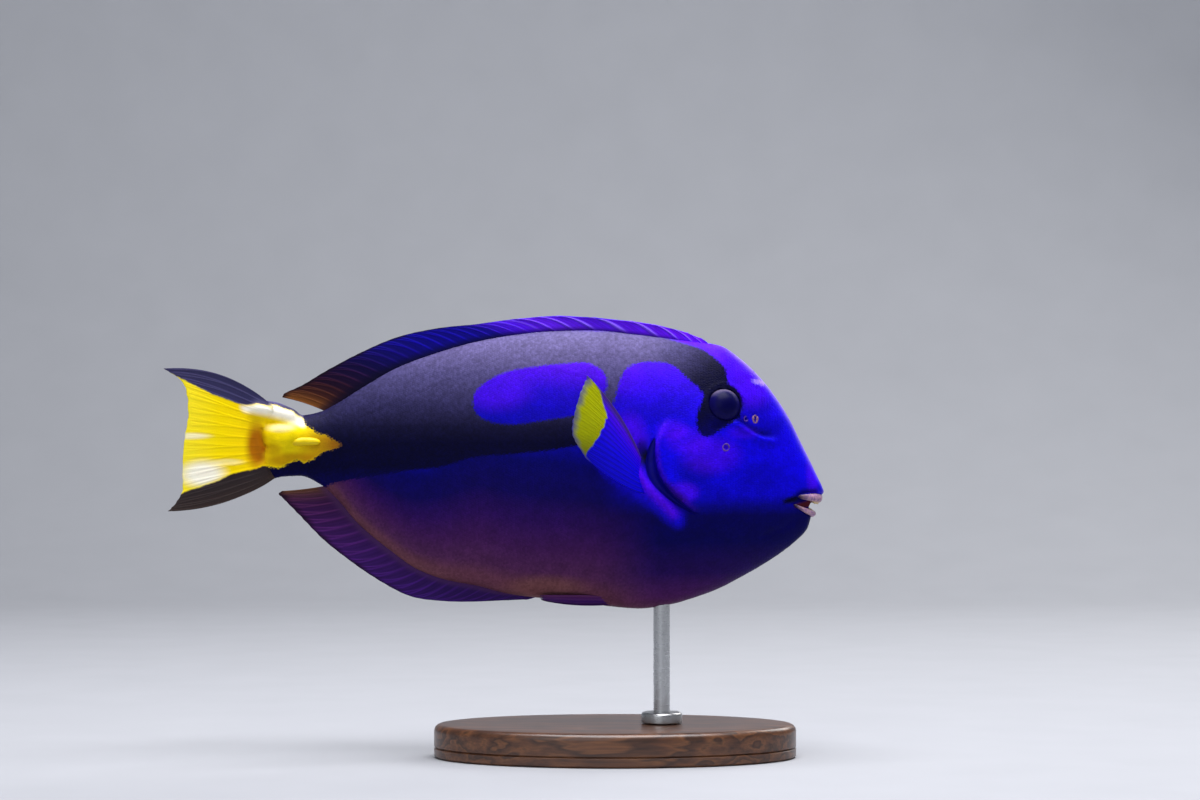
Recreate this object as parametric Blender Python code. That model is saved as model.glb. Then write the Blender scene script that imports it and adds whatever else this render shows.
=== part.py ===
# Regal blue tang: a still, life-size model of a fish about 24 cm long, held by a rod on a flat base.
#
# The fish faces +X, its back is +Z and its right side is -Y. The origin is the middle of the base's
# underside.
# The fish is drawn in its own measures, all in millimetres:
#   s   distance behind the tip of the snout, along the backbone
#   y   distance from the middle plane, positive on the fish's left
#   h   height above the level of the fish's axis
# place() carries (s, y, h) into metres in the world, with the swing of the tail in it.

import math
import random

import bmesh
import bpy
import numpy as np
from mathutils import Matrix, Vector

MM = 0.001
GAP = 0.3  # clearance between touching pieces
WELD = 1e-6  # metres within which a cut's corners are one

# Driving dimensions of the fish, in millimetres.
BODY_LENGTH = 206.0  # snout to the end of the tail stalk
BODY_WIDTH = 38.0
AXIS_HEIGHT = 108.0  # of the fish's axis above the floor
SNOUT_AHEAD = 76.0  # snout tip in front of the origin
TAIL_SWING = 27.0  # degrees that the tail is swung to the fish's right
SWING_START = 165.0  # where the swing begins, as s
SWING_END = 212.0  # where the swing is complete, as s

# Back and belly of the body without fins as (s, h), and its half width as (s, share of BODY_WIDTH / 2).
BACK = (
    (0, -10.7), (0.7, -9), (1.5, -7.3), (5, -0.4), (9, 7.6), (12.5, 14.8), (18, 23.5), (23.5, 30.5),
    (30.5, 37.1), (38, 41.9), (52, 43.8), (68, 45.8), (85, 47.4), (100, 47), (112, 45.8), (126, 43.4),
    (140, 39.5), (155, 34), (170, 25.4), (177, 21), (184, 17.6), (190, 16.5), (195, 18.8), (200, 21),
    (206, 21.6),
)
BELLY = (
    (0, -11.8), (0.6, -12.5), (1.4, -13), (2.6, -14.4), (3.6, -17), (4.6, -20.8), (6, -25), (10, -29.3),
    (16, -34), (23.5, -38.8), (31, -43), (38, -46.6), (45, -49.3), (56, -52.5), (67, -54), (78, -53.2),
    (89, -51.3), (107, -49.8), (115, -48.6), (126, -45.8), (137, -43.4), (148, -39.4), (158, -32.6),
    (170, -22.6), (177, -14.4), (183, -9), (191, -5.6), (197, -5.8), (206, -8.2),
)
WIDTH = (
    (0, 0.05), (0.7, 0.12), (2, 0.19), (5, 0.26), (12, 0.38), (25, 0.63), (40, 0.84), (55, 0.95), (75, 1.0),
    (95, 0.98), (115, 0.88), (135, 0.72), (155, 0.53), (170, 0.4), (182, 0.31), (191, 0.27), (198, 0.22),
    (203, 0.13), (206, 0.06),
)
WIDEST_LIFT = ((0, 0), (20, -0.12), (50, -0.1), (90, 0), (206, 0))  # of the widest level over the middle
STATION_SPACING = ((0, 0.6), (20, 3.6), (90, 6.2), (160, 5), (183, 3.2), (206, 2.8))  # (s, to the next)
BODY_RING = 36
BACK_SHARPNESS = 0.3  # how much the back narrows towards the ridge that carries the fin

# Swellings of the sides over the plain sections: centre (s, h), reach along s and h, and height.
SWELLINGS = (
    (36, 20, 9, 9, 0.9),
    (44, -9, 14, 20, 0.8),
    (191, 10, 6, 6, 0.9),
)

# Lines that part the body: the rear edge of the head, and the start of the tail stalk.
GILL_LINE = (
    (39.4, 60), (39.4, 42.7), (48.2, 31), (56.9, 16.4), (61, 7.3), (61.3, 0.7), (59.1, -6.6), (53.3, -13.5),
    (44.5, -19.7), (34.3, -28.5), (24.5, -38.7), (16, -52),
)
STALK_START = 183.4
GILL_SLOT = ((61, 8), (61.6, 1), (59.6, -6.6), (53.6, -13.7), (45, -19.8))
GILL_SLOT_WIDTH = 3.4
GILL_SLOT_DEPTH = 2.6
COVER_OUTLINE = (
    (72, 15), (60, 15), (51, 14), (48, 9), (46.8, 2), (45.4, -5), (42, -12), (38.4, -18), (38.6, -23),
    (46, -26.5), (58, -28), (72, -28),
)
COVER_INNER = 11.5  # the gill cover's flat inner face, from the middle plane
COVER_PROUD = 0.5  # how far the gill cover stands over the skin

# Eye, nostrils and mouth.
EYE_AT = (36.3, 20.6)
EYE_RADIUS = 6.5
EYE_BULGE_RADIUS = 5.0
EYE_SINK = 2.6  # the eyeball's centre under the skin
NOSTRILS = ((25.4, 15.6, 1.0), (23.4, 13.2, 0.7))  # (s, h, radius)
LIP_UPPER = {"front": (1.9, -14.1), "corner": (9.8, -13.4), "height": 1.6, "depth": 1.5}
LIP_LOWER = {"front": (4.2, -19.4), "corner": (11.4, -15.9), "height": 1.2, "depth": 1.4}
LIP_TAPER = 0.65  # share of its thickness that a lip loses towards the corners
LIP_BLUNTNESS = 1.7  # how square the mouth is in plan
# Inside of the open mouth: (s, half width, roof, floor). In front it opens to both sides.
MOUTH = (
    (-4, 10, -15.0, -22.4), (3.4, 10, -15.0, -19.0), (4.4, 6.2, -15.0, -19.0), (5.6, 4.8, -15.1, -18.6),
    (8.5, 3.6, -15.0, -16.8), (13, 1.6, -15.2, -16.0),
)
TEETH = 10  # in each jaw
TOOTH_SEED = 7
TOOTH = {"width": 0.8, "thickness": 0.7, "proud": 0.55, "inset": 0.25}
TOOTH_SPREAD = 0.44  # share of the lip that carries teeth

# Fins: (base, middle, tip) of the guide rays, each an (s, h), from front to rear or from top to bottom.
DORSAL_GUIDES = (
    ((40, 40.5), (42.5, 43), (45, 44.6)),
    ((47, 42), (51, 46), (56, 48.2)),
    ((59, 44.2), (65, 48.8), (70, 50.6)),
    ((82, 47), (89, 51.2), (96, 52.6)),
    ((97, 47), (104.5, 50.8), (112, 51.5)),
    ((112, 45.8), (120, 49), (128, 49.5)),
    ((126, 43.4), (134, 47), (142, 48)),
    ((140, 39.5), (148, 43.6), (156, 44.8)),
    ((154, 34.5), (162, 38.2), (169.5, 39)),
    ((165, 28.6), (173.5, 32.2), (181.5, 32.6)),
    ((175, 22.4), (183, 26.2), (191, 27)),
    ((182.4, 18.2), (191, 21.4), (200, 23.4)),
)
DORSAL_SPINES = 9
DORSAL_SOFT_RAYS = 20
DORSAL_SPLIT = 0.37  # share of the fin's run that the spines take
DORSAL_PARTING = 0.0012  # half the gap between its two parts, in the same share
ANAL_GUIDES = (
    ((108, -49.4), (110, -51), (112, -51.9)),
    ((116, -48.4), (121, -50.4), (126, -51.5)),
    ((126, -45.8), (132.5, -49.6), (139, -51.3)),
    ((137, -43.4), (144, -47.8), (151, -49.5)),
    ((147.5, -39.6), (155, -43), (162.5, -43.6)),
    ((157, -33.4), (165, -36.4), (172.5, -36.8)),
    ((166, -26), (174.5, -28.6), (182.5, -28.8)),
    ((173.5, -18.6), (182, -20.6), (190.5, -20.6)),
    ((179, -12.4), (188, -13.6), (197.4, -13.6)),
    ((182.4, -9.4), (191, -10.6), (200.5, -11.2)),
)
ANAL_SPINES = 3
ANAL_SOFT_RAYS = 18
CAUDAL_GUIDES = (
    ((203.5, 21.2), (221.5, 31.2), (243, 33.2)),
    ((204.5, 19), (220.5, 25.8), (237.4, 30)),
    ((205, 15.6), (218.5, 20.4), (234.4, 25.6)),
    ((205, 11.4), (218, 14), (233.6, 16.2)),
    ((205, 6.8), (218, 7.2), (235, 7.8)),
    ((205, 2), (218, 0.6), (235.8, -1.6)),
    ((205, -2.4), (218.5, -5.6), (235.6, -9.8)),
    ((204.5, -5.6), (220.5, -11), (238.2, -14.8)),
    ((203.5, -8), (221.5, -15.4), (241.4, -17.8)),
)
CAUDAL_RAYS = 16

# Pectoral fin: (base, middle, tip) as (s, distance from the middle plane, h), from the leading edge down.
PECTORAL_GUIDES = (
    ((66.1, 15, -2.4), (73.6, 29, 14.8), (86.1, 42, 30.7)),
    ((64.9, 15, -5.6), (76, 31, 9.5), (89.4, 43, 21.6)),
    ((63.2, 15, -9), (76, 30, 1.5), (91.4, 41, 10.5)),
    ((61, 15, -12.6), (73.6, 27, -8.2), (86.6, 35, 1.6)),
)
PECTORAL_RAYS = 14
# Pelvic fin, folded back along the belly: (s, distance from the middle plane, h), from the lower edge up.
PELVIC_GUIDES = (
    ((68, 2.2, -50.8), (86, 3.6, -52.5), (103, 3.4, -50.6)),
    ((70, 3.4, -50.4), (86, 5.6, -50.9), (103.4, 5, -49.9)),
    ((73, 4.6, -49.6), (87, 7.6, -48.9), (103.4, 6.8, -48.9)),
)
PELVIC_RAYS = 4

FIN_ROOT_DEPTH = 3.0  # how far a fin is drawn into the body before it is cut to the skin
RAY_HALF = (0.66, 0.42)  # half thickness of a ray at the root and near the tip
MEMBRANE_HALF = (0.36, 0.26)
FIN_EDGE_HALF = 0.16
FIN_RIM_FROM = 0.93  # where the thin rim of a fin begins, as a share of its rays
SPINE_HALF = (0.8, 0.4)
RAY_SPLAY = 0.3  # half width of a ray as a share of the way to the next

# The folding spine on each side of the tail stalk.
TAIL_SPINE_AT = (189.3, 6.6)
TAIL_SPINE_SIZE = (5.3, 1.9, 1.8)  # half length, half height, half thickness
TAIL_SPINE_SINK = 0.7

# Stand.
BASE_LENGTH = 132.0
BASE_WIDTH = 78.0
BASE_HEIGHT = 12.0
BASE_CORNER = 2.5
ROD_DIAMETER = 6.0
ROD_AT = 59.0  # as s
COLLAR_DIAMETER = 15.0
COLLAR_HEIGHT = 4.0

COLOURS = {
    "skin_blue": ((0.045, 0.012, 0.62), 0.38, 0.0),
    "fin_violet": ((0.06, 0.012, 0.4), 0.42, 0.0),
    "fin_yellow": ((0.9, 0.66, 0.01), 0.42, 0.0),
    "lip_pink": ((0.6, 0.38, 0.36), 0.4, 0.0),
    "eye": ((0.008, 0.006, 0.012), 0.08, 0.0),
    "walnut": ((0.055, 0.024, 0.011), 0.4, 0.0),
    "steel": ((0.55, 0.56, 0.57), 0.28, 1.0),
}


def clear_scene():
    for obj in list(bpy.data.objects):
        bpy.data.objects.remove(obj)


def finish(name):
    """The Principled material of that name, made once."""
    made = bpy.data.materials.get(name)
    if made:
        return made
    made = bpy.data.materials.new(name)
    made.use_nodes = True
    colour, roughness, metallic = COLOURS[name]
    shader = made.node_tree.nodes["Principled BSDF"]
    shader.inputs["Base Color"].default_value = (*colour, 1)
    shader.inputs["Roughness"].default_value = roughness
    shader.inputs["Metallic"].default_value = metallic
    return made


def solid(name, vertices, faces):
    """A helper solid from world points in metres, not shown until show() makes it a node."""
    mesh = bpy.data.meshes.new(name)
    mesh.from_pydata([tuple(v) for v in vertices], [], faces)
    obj = bpy.data.objects.new(name, mesh)
    bpy.context.scene.collection.objects.link(obj)
    turn_faces_out(obj)
    obj.hide_render = True
    obj.display_type = "WIRE"
    return obj


def turn_faces_out(obj):
    bm = bmesh.new()
    bm.from_mesh(obj.data)
    bmesh.ops.recalc_face_normals(bm, faces=bm.faces)
    if bm.calc_volume(signed=True) < 0:
        bmesh.ops.reverse_faces(bm, faces=bm.faces)
    bm.to_mesh(obj.data)
    bm.free()


def through(points, at):
    """Smooth curve through (x, value) points that doesn't overshoot them, read at x."""
    xs = np.array([p[0] for p in points], float)
    vs = np.array([p[1] for p in points], float)
    step = np.diff(xs)
    rise = np.diff(vs) / step
    slope = np.empty(len(xs))
    slope[0], slope[-1] = rise[0], rise[-1]
    for i in range(1, len(xs) - 1):
        before, after = rise[i - 1], rise[i]
        slope[i] = 0 if before * after <= 0 else 2 * before * after / (before + after)
    at = min(max(at, xs[0]), xs[-1])
    i = min(int(np.searchsorted(xs, at, side="right")) - 1, len(step) - 1)
    t = (at - xs[i]) / step[i]
    return float(
        vs[i] * (1 + 2 * t) * (1 - t) ** 2
        + slope[i] * step[i] * t * (1 - t) ** 2
        + vs[i + 1] * t * t * (3 - 2 * t)
        + slope[i + 1] * step[i] * t * t * (t - 1)
    )


def along(points, t):
    """Catmull-Rom curve through points of any dimension, read at t from 0 to 1."""
    p = np.array(points, float)
    last = len(p) - 1
    place_on = min(max(t, 0.0), 1.0) * last
    i = min(int(place_on), last - 1)
    f = place_on - i
    a = p[i - 1] if i > 0 else 2 * p[0] - p[1]
    d = p[i + 2] if i + 2 <= last else 2 * p[last] - p[last - 1]
    b, c = p[i], p[i + 1]
    bend = (2 * a - 5 * b + 4 * c - d) * f * f + (3 * b - a - 3 * c + d) * f**3
    return 0.5 * (2 * b + (c - a) * f + bend)


def swing_at(s):
    """Heading of the backbone at s, in radians off straight."""
    t = min(max((s - SWING_START) / (SWING_END - SWING_START), 0.0), 1.0)
    return math.radians(TAIL_SWING) * t * t * (3 - 2 * t)


def backbone(s):
    """(distance back, distance to the left) of the backbone at s, and its heading."""
    if s <= SWING_START:
        return s, 0.0, 0.0
    steps = 24
    stride = (s - SWING_START) / steps
    back, side = SWING_START, 0.0
    for i in range(steps):
        heading = swing_at(SWING_START + (i + 0.5) * stride)
        back += math.cos(heading) * stride
        side -= math.sin(heading) * stride
    return back, side, swing_at(s)


def place(s, y, h):
    """(s, y, h) in millimetres to world metres."""
    back, side, heading = backbone(s)
    x = SNOUT_AHEAD - back - y * math.sin(heading)
    return Vector((x, side + y * math.cos(heading), h + AXIS_HEIGHT)) * MM


def half_width(s):
    return through(WIDTH, s) * BODY_WIDTH / 2


def section(s, angle, grow=0.0):
    """(y, h) of the skin at s. The angle is 0 on the back, pi on the belly and pi / 2 on the fish's left."""
    top, bottom = through(BACK, s) + grow, through(BELLY, s) - grow
    level = math.cos(angle)
    lift = through(WIDEST_LIFT, s)
    sharp = 1 + BACK_SHARPNESS * max(level, 0.0)
    side = math.copysign(abs(math.sin(angle)) ** sharp, math.sin(angle))
    h = (top + bottom) / 2 + (top - bottom) / 2 * (level + lift * (1 - level * level))
    y = (half_width(s) + grow + swell(s, h)) * side
    return y, h


def swell(s, h):
    """How far the skin stands over the plain section at (s, h), in millimetres."""
    return sum(
        height * math.exp(-(((s - at_s) / long) ** 2) - ((h - at_h) / tall) ** 2)
        for at_s, at_h, long, tall, height in SWELLINGS
    )


def skin_y(s, h):
    """Distance of the skin from the middle plane at (s, h)."""
    low, high = 0.0, math.pi
    for _ in range(40):
        middle = (low + high) / 2
        if section(s, middle)[1] > h:
            low = middle
        else:
            high = middle
    return section(s, low)[0]


def ring_faces(rings, around):
    """Faces between rings of vertices that follow one another, without the ends."""
    faces = []
    for i in range(rings - 1):
        for k in range(around):
            m = (k + 1) % around
            faces.append((i * around + k, i * around + m, (i + 1) * around + m, (i + 1) * around + k))
    return faces


def capped(name, vertices, around):
    """A closed solid from rings of vertices, with a flat face at each end."""
    rings = len(vertices) // around
    faces = ring_faces(rings, around)
    faces.append(tuple(range(around - 1, -1, -1)))
    faces.append(tuple(range((rings - 1) * around, rings * around)))
    return solid(name, vertices, faces)


def turn(k, around):
    return 2 * math.pi * k / around


def body_stations():
    """Values of s, closer together at the snout and at the tail stalk."""
    stations = [0.0]
    while stations[-1] < BODY_LENGTH:
        stations.append(stations[-1] + through(STATION_SPACING, stations[-1]))
    return [s * BODY_LENGTH / stations[-1] for s in stations]


def body_mesh(name, grow=0.0):
    """The whole body as one closed loft, with flat-topped ends closed by strips from side to side."""
    vertices = []
    stations = body_stations()
    for n, s in enumerate(stations):
        end = -grow if n == 0 else grow if n == len(stations) - 1 else 0.0
        for k in range(BODY_RING):
            y, h = section(s, turn(k, BODY_RING), grow)
            vertices.append(place(s + end, y, h))
    faces = ring_faces(len(stations), BODY_RING)
    half = BODY_RING // 2
    for start in (0, (len(stations) - 1) * BODY_RING):
        faces.append((start, start + 1, start + BODY_RING - 1))
        faces.append((start + half, start + half + 1, start + half - 1))
        for k in range(1, half - 1):
            faces.append((start + k, start + k + 1, start + BODY_RING - k - 1, start + BODY_RING - k))
    return solid(name, vertices, faces)


def settle(obj):
    """Takes the result of obj's modifiers as its mesh."""
    bpy.context.view_layer.update()
    evaluated = obj.evaluated_get(bpy.context.evaluated_depsgraph_get())
    mesh = bpy.data.meshes.new_from_object(evaluated)
    obj.modifiers.clear()
    obj.data = mesh
    return obj


def combine(obj, operation, *others):
    """Applies one Boolean of obj with each of the others, and removes those."""
    for other in others:
        modifier = obj.modifiers.new("cut", "BOOLEAN")
        modifier.operation = operation
        modifier.solver = "EXACT"
        modifier.object = other
    settle(obj)
    for other in others:
        bpy.data.objects.remove(other)
    return obj


def fuse(obj, pieces):
    """Joins closed pieces to obj in one Boolean union, and removes them."""
    together = bpy.data.collections.new("together")
    for piece in pieces:
        together.objects.link(piece)
    modifier = obj.modifiers.new("join", "BOOLEAN")
    modifier.operation = "UNION"
    modifier.solver = "EXACT"
    modifier.operand_type = "COLLECTION"
    modifier.collection = together
    settle(obj)
    for piece in pieces:
        bpy.data.objects.remove(piece)
    bpy.data.collections.remove(together)
    return obj


def copy_of(obj, name):
    made = obj.copy()
    made.data = obj.data.copy()
    made.name = name
    bpy.context.scene.collection.objects.link(made)
    return made


def islands(bm):
    """The separate closed surfaces of a mesh, each a set of faces."""
    left = set(bm.faces)
    found = []
    while left:
        group = {left.pop()}
        reached = list(group)
        while reached:
            for edge in reached.pop().edges:
                for other in edge.link_faces:
                    if other in left:
                        left.remove(other)
                        group.add(other)
                        reached.append(other)
        found.append(group)
    return found


def volume_of(group):
    total = 0.0
    for face in group:
        first = face.verts[0].co
        for i in range(1, len(face.verts) - 1):
            total += first.dot(face.verts[i].co.cross(face.verts[i + 1].co)) / 6
    return abs(total)


def keep_largest(obj):
    """Leaves only the largest closed surface of obj."""
    bm = bmesh.new()
    bm.from_mesh(obj.data)
    bmesh.ops.remove_doubles(bm, verts=bm.verts, dist=WELD)
    kept = max(islands(bm), key=volume_of)
    bmesh.ops.delete(bm, geom=[face for face in bm.faces if face not in kept], context="FACES")
    bm.to_mesh(obj.data)
    bm.free()
    return obj


def show(obj, name, material):
    """Makes a helper a node of its own."""
    obj.name = name
    obj.hide_render = False
    obj.display_type = "TEXTURED"
    obj.data.name = name
    obj.data.materials.clear()
    obj.data.materials.append(finish(material))
    obj.data.shade_smooth()
    obj.data.set_sharp_from_angle(angle=math.radians(40))
    return obj


def prism(name, outline, inner, outer):
    """An (s, h) outline carried across from y = inner to y = outer."""
    count = len(outline)
    vertices = [place(s, y, h) for y in (inner, outer) for s, h in outline]
    faces = [tuple(range(count)), tuple(range(2 * count - 1, count - 1, -1))]
    faces += [(k, (k + 1) % count, (k + 1) % count + count, k + count) for k in range(count)]
    return solid(name, vertices, faces)


def offset_line(line, distance):
    """The points of an open (s, h) line moved sideways by distance."""
    points = [Vector(p) for p in line]
    moved = []
    for i, p in enumerate(points):
        run = points[min(i + 1, len(points) - 1)] - points[max(i - 1, 0)]
        moved.append(p + Vector((-run.y, run.x)).normalized() * distance)
    return [tuple(p) for p in moved]


def grown_outline(outline, distance):
    """A closed (s, h) outline moved outwards by distance."""
    points = [Vector(p) for p in outline]
    count = len(points)
    area = sum(points[i - 1].cross(points[i]) for i in range(count))
    moved = []
    for i in range(count):
        run = points[(i + 1) % count] - points[i - 1]
        out = Vector((run.y, -run.x)).normalized() * math.copysign(distance, area)
        moved.append(tuple(points[i] + out))
    return moved


def sampled(points, count):
    return [tuple(along(points, i / (count - 1))) for i in range(count)]


def ellipsoid(name, centre, radii, facing, segments=18, rings=11, grow=0.0):
    """An ellipsoid about a world point, its radii in millimetres and its second radius along facing."""
    bm = bmesh.new()
    bmesh.ops.create_uvsphere(bm, u_segments=segments, v_segments=rings, radius=1)
    upright = Matrix.Rotation(math.radians(90), 4, "X")
    turn = facing.to_track_quat("Y", "Z").to_matrix().to_4x4()
    scale = Matrix.Diagonal([(r + grow) * MM for r in radii] + [1])
    bmesh.ops.transform(bm, matrix=Matrix.Translation(centre) @ turn @ scale @ upright, verts=bm.verts)
    mesh = bpy.data.meshes.new(name)
    bm.to_mesh(mesh)
    bm.free()
    obj = bpy.data.objects.new(name, mesh)
    bpy.context.scene.collection.objects.link(obj)
    turn_faces_out(obj)
    obj.hide_render = True
    obj.display_type = "WIRE"
    return obj


def tube(name, centres, radii, outward, around=8):
    """A closed tube of oval section round points (s, y, h). radii are (out, up), and outward turns them."""
    vertices = []
    for (s, y, h), (out, up), away in zip(centres, radii, outward):
        for k in range(around):
            reach = math.cos(turn(k, around)) * out
            rise = math.sin(turn(k, around)) * up
            vertices.append(place(s + away[0] * reach, y + away[1] * reach, h + rise))
    return capped(name, vertices, around)


def lip_line(sizes, t):
    """Centre (s, y, h) of a lip at t from -1, the right corner, to 1, the left one, and its taper there."""
    front, corner = Vector(sizes["front"]), Vector(sizes["corner"])
    reach = abs(t) ** LIP_BLUNTNESS
    s, h = front.lerp(corner, reach)
    return Vector((s, skin_y(*corner) * math.sin(t * math.pi / 2), h)), 1 - LIP_TAPER * reach


def outward_of_lip(sizes, t):
    """Direction away from the mouth in the (s, y) plane at t."""
    before, after = lip_line(sizes, t - 0.02)[0], lip_line(sizes, t + 0.02)[0]
    return Vector((before.y - after.y, after.x - before.x)).normalized()


def lip(name, sizes, grow=0.0):
    """A lip: a rounded strip from one corner of the mouth round the snout to the other."""
    steps = 15
    centres, radii, outward = [], [], []
    for i in range(steps):
        t = 2 * i / (steps - 1) - 1
        centre, fade = lip_line(sizes, t)
        centres.append(centre)
        radii.append((sizes["depth"] * fade + grow, sizes["height"] * fade + grow))
        outward.append(outward_of_lip(sizes, t))
    return tube(name, centres, radii, outward)


def tooth(sizes, t, up):
    """One small chisel tooth, its root in the middle of the lip and its edge past the lip's inner side."""
    centre, fade = lip_line(sizes, t)
    out = outward_of_lip(sizes, t)
    run = Vector((-out.y, out.x))
    reach = sizes["height"] * fade + TOOTH["proud"]
    vertices = []
    for level, thick, wide in ((0.0, 1.0, 0.8), (0.7, 0.9, 1.0), (1.0, 0.35, 0.85)):
        middle = Vector((centre.x, centre.y)) - out * TOOTH["inset"] * fade
        for k, m in ((-1, -1), (1, -1), (1, 1), (-1, 1)):
            p = middle + run * k * TOOTH["width"] / 2 * wide + out * m * TOOTH["thickness"] / 2 * thick
            vertices.append(place(p.x, p.y, centre.z + up * reach * level))
    faces = [(0, 1, 2, 3), (8, 9, 10, 11)]
    faces += [(i + k, i + (k + 1) % 4, i + 4 + (k + 1) % 4, i + 4 + k) for i in (0, 4) for k in range(4)]
    return solid("tooth", vertices, faces)


def jaw(name, sizes, up):
    """A lip with its row of teeth."""
    rng = random.Random(TOOTH_SEED + up)
    row = []
    for i in range(TEETH):
        t = (2 * (i + 0.5) / TEETH - 1) * TOOTH_SPREAD
        row.append(tooth(sizes, t + rng.uniform(-0.004, 0.004), up))
    return fuse(lip(name, sizes), row)


def guide_point(guides, u, v):
    """A point of the fin's middle surface: u across the rays, v from 0 at the root to 1 at the tip."""
    base = along([g[0] for g in guides], u)
    middle = along([g[1] for g in guides], u)
    tip = along([g[2] for g in guides], u)
    return base * (1 - v) * (1 - 2 * v) + middle * 4 * v * (1 - v) + tip * v * (2 * v - 1)


def fin_columns(spines, rays, start=0.0, end=1.0):
    """(u, share of a ray's height, whether it is a spine) across a fin: a crest and two feet a ray."""
    count = spines + rays
    columns = []
    for i in range(count):
        u = start + (end - start) * i / (count - 1)
        foot = RAY_SPLAY * (end - start) / (count - 1)
        hard = i < spines
        if i > 0:
            columns.append((u - foot, 0.0, hard))
        columns.append((u, 1.0, hard))
        if i < count - 1:
            columns.append((u + foot, 0.0, hard))
    return columns


def thickness(v, crest, hard):
    ray = SPINE_HALF if hard else RAY_HALF
    ray_here = ray[0] + (ray[1] - ray[0]) * v
    web_here = MEMBRANE_HALF[0] + (MEMBRANE_HALF[1] - MEMBRANE_HALF[0]) * v
    here = web_here + (ray_here - web_here) * crest
    return FIN_EDGE_HALF if v >= 0.999 else here


def fin(name, guides, columns, levels, side=0):
    """A closed fin, its rays raised as ridges in both faces. side is 0 for one on the middle plane."""
    grid = []
    for u, _, _ in columns:
        column = []
        for v in levels:
            p = guide_point(guides, u, v)
            if side:
                column.append(place(p[0], side * p[1], p[2]))
            else:
                column.append(place(p[0], 0, p[1]))
        grid.append(column)
    across, out = len(grid), len(levels)
    vertices = []
    for face in (1, -1):
        for i in range(across):
            for j in range(out):
                du = grid[min(i + 1, across - 1)][j] - grid[max(i - 1, 0)][j]
                dv = grid[i][min(j + 1, out - 1)] - grid[i][max(j - 1, 0)]
                normal = du.cross(dv).normalized()
                _, crest, hard = columns[i]
                half = thickness(max(levels[j], 0.0), crest, hard) * MM
                vertices.append(grid[i][j] + normal * half * face)
    faces = []
    back = across * out
    for i in range(across - 1):
        for j in range(out - 1):
            a, b, c, d = i * out + j, (i + 1) * out + j, (i + 1) * out + j + 1, i * out + j + 1
            faces += [(a, b, c), (a, c, d), (back + a, back + c, back + b), (back + a, back + d, back + c)]
    rim = [i * out for i in range(across)]
    rim += [(across - 1) * out + j for j in range(1, out)]
    rim += [i * out + out - 1 for i in range(across - 2, -1, -1)]
    rim += [j for j in range(out - 2, 0, -1)]
    for k, a in enumerate(rim):
        b = rim[(k + 1) % len(rim)]
        faces += [(a, back + a, back + b), (a, back + b, b)]
    return solid(name, vertices, faces)


def levels_for(guides, count):
    """v from inside the body to the tip, close together at the edge."""
    base, _, tip = (np.array(point, float) for point in guides[len(guides) // 2])
    root = -FIN_ROOT_DEPTH / np.linalg.norm(tip - base)
    return [root, *np.linspace(0.0, FIN_RIM_FROM, count - 2), 1.0]


def grow_fin(name, material, guides, columns, levels, side=0):
    """A fin, its root cut to the skin with the gap between."""
    made = fin(name, guides, columns, levels_for(guides, levels), side)
    combine(made, "DIFFERENCE", body_mesh("skin_with_gap", GAP))
    return show(keep_largest(made), name, material)


def gill_slot(name, side, steps=15, around=8):
    """The opening behind the gill cover: a crescent, widest in the middle and pointed at both ends."""
    vertices = []
    for i in range(steps):
        t = i / (steps - 1)
        s, h = along(GILL_SLOT, t)
        fat = max(math.sin(math.pi * t) ** 0.6, 0.12)
        wide = GILL_SLOT_WIDTH / 2 * fat
        for k in range(around):
            back = wide * (1 + math.cos(turn(k, around)))
            deep = GILL_SLOT_DEPTH * fat * math.sin(turn(k, around))
            vertices.append(place(s + back, side * (skin_y(s, h) + deep), h))
    return capped(name, vertices, around)


def skin_normal(s, side, h):
    """Outward direction of the skin in the world at (s, h)."""
    step = 0.5
    behind, ahead, above, below = (
        place(s + ds, side * skin_y(s + ds, h + dh), h + dh)
        for ds, dh in ((step, 0), (-step, 0), (0, step), (0, -step))
    )
    normal = (behind - ahead).cross(above - below).normalized()
    return normal if normal.y * side > 0 else -normal


def eyeball(name, side, grow=0.0):
    s, h = EYE_AT
    normal = skin_normal(s, side, h)
    centre = place(s, side * skin_y(s, h), h) - normal * EYE_SINK * MM
    return ellipsoid(name, centre, (EYE_RADIUS, EYE_BULGE_RADIUS, EYE_RADIUS), normal, grow=grow)


def nostril(name, side, s, h, radius):
    centre = place(s, side * skin_y(s, h), h)
    return ellipsoid(name, centre, (radius, radius, radius), skin_normal(s, side, h), segments=8, rings=6)


def mouth_gape(name, steps=14, around=10):
    """The inside of the open mouth, a rounded box in section."""
    vertices = []
    for i in range(steps):
        s = MOUTH[0][0] + (MOUTH[-1][0] - MOUTH[0][0]) * i / (steps - 1)
        wide, roof, floor = (through([(row[0], row[column]) for row in MOUTH], s) for column in (1, 2, 3))
        for k in range(around):
            across, up = math.cos(turn(k, around)), math.sin(turn(k, around))
            square = max(abs(across), abs(up)) ** 0.5
            h = (roof + floor) / 2 + up / square * (roof - floor) / 2
            vertices.append(place(s, across / square * wide, h))
    return capped(name, vertices, around)


def tail_spine(name, side, grow=0.0, steps=11, around=8):
    """The folding spine: a pointed almond lying along the stalk."""
    s, h = TAIL_SPINE_AT
    length, height, thick = TAIL_SPINE_SIZE
    vertices = []
    for i in range(steps):
        t = 2 * i / (steps - 1) - 1
        fat = max((1 - t * t) ** 0.7, 0.08)
        here = s + t * (length + grow)
        skin = skin_y(here, h) - TAIL_SPINE_SINK
        for k in range(around):
            deep = skin + math.cos(turn(k, around)) * (thick * fat + grow)
            vertices.append(place(here, side * deep, h + math.sin(turn(k, around)) * (height * fat + grow)))
    return capped(name, vertices, around)


def part_of_body(name, cutter, grow=0.0):
    """What the cutter takes out of the body."""
    return combine(body_mesh(name, grow), "INTERSECT", cutter)


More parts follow.
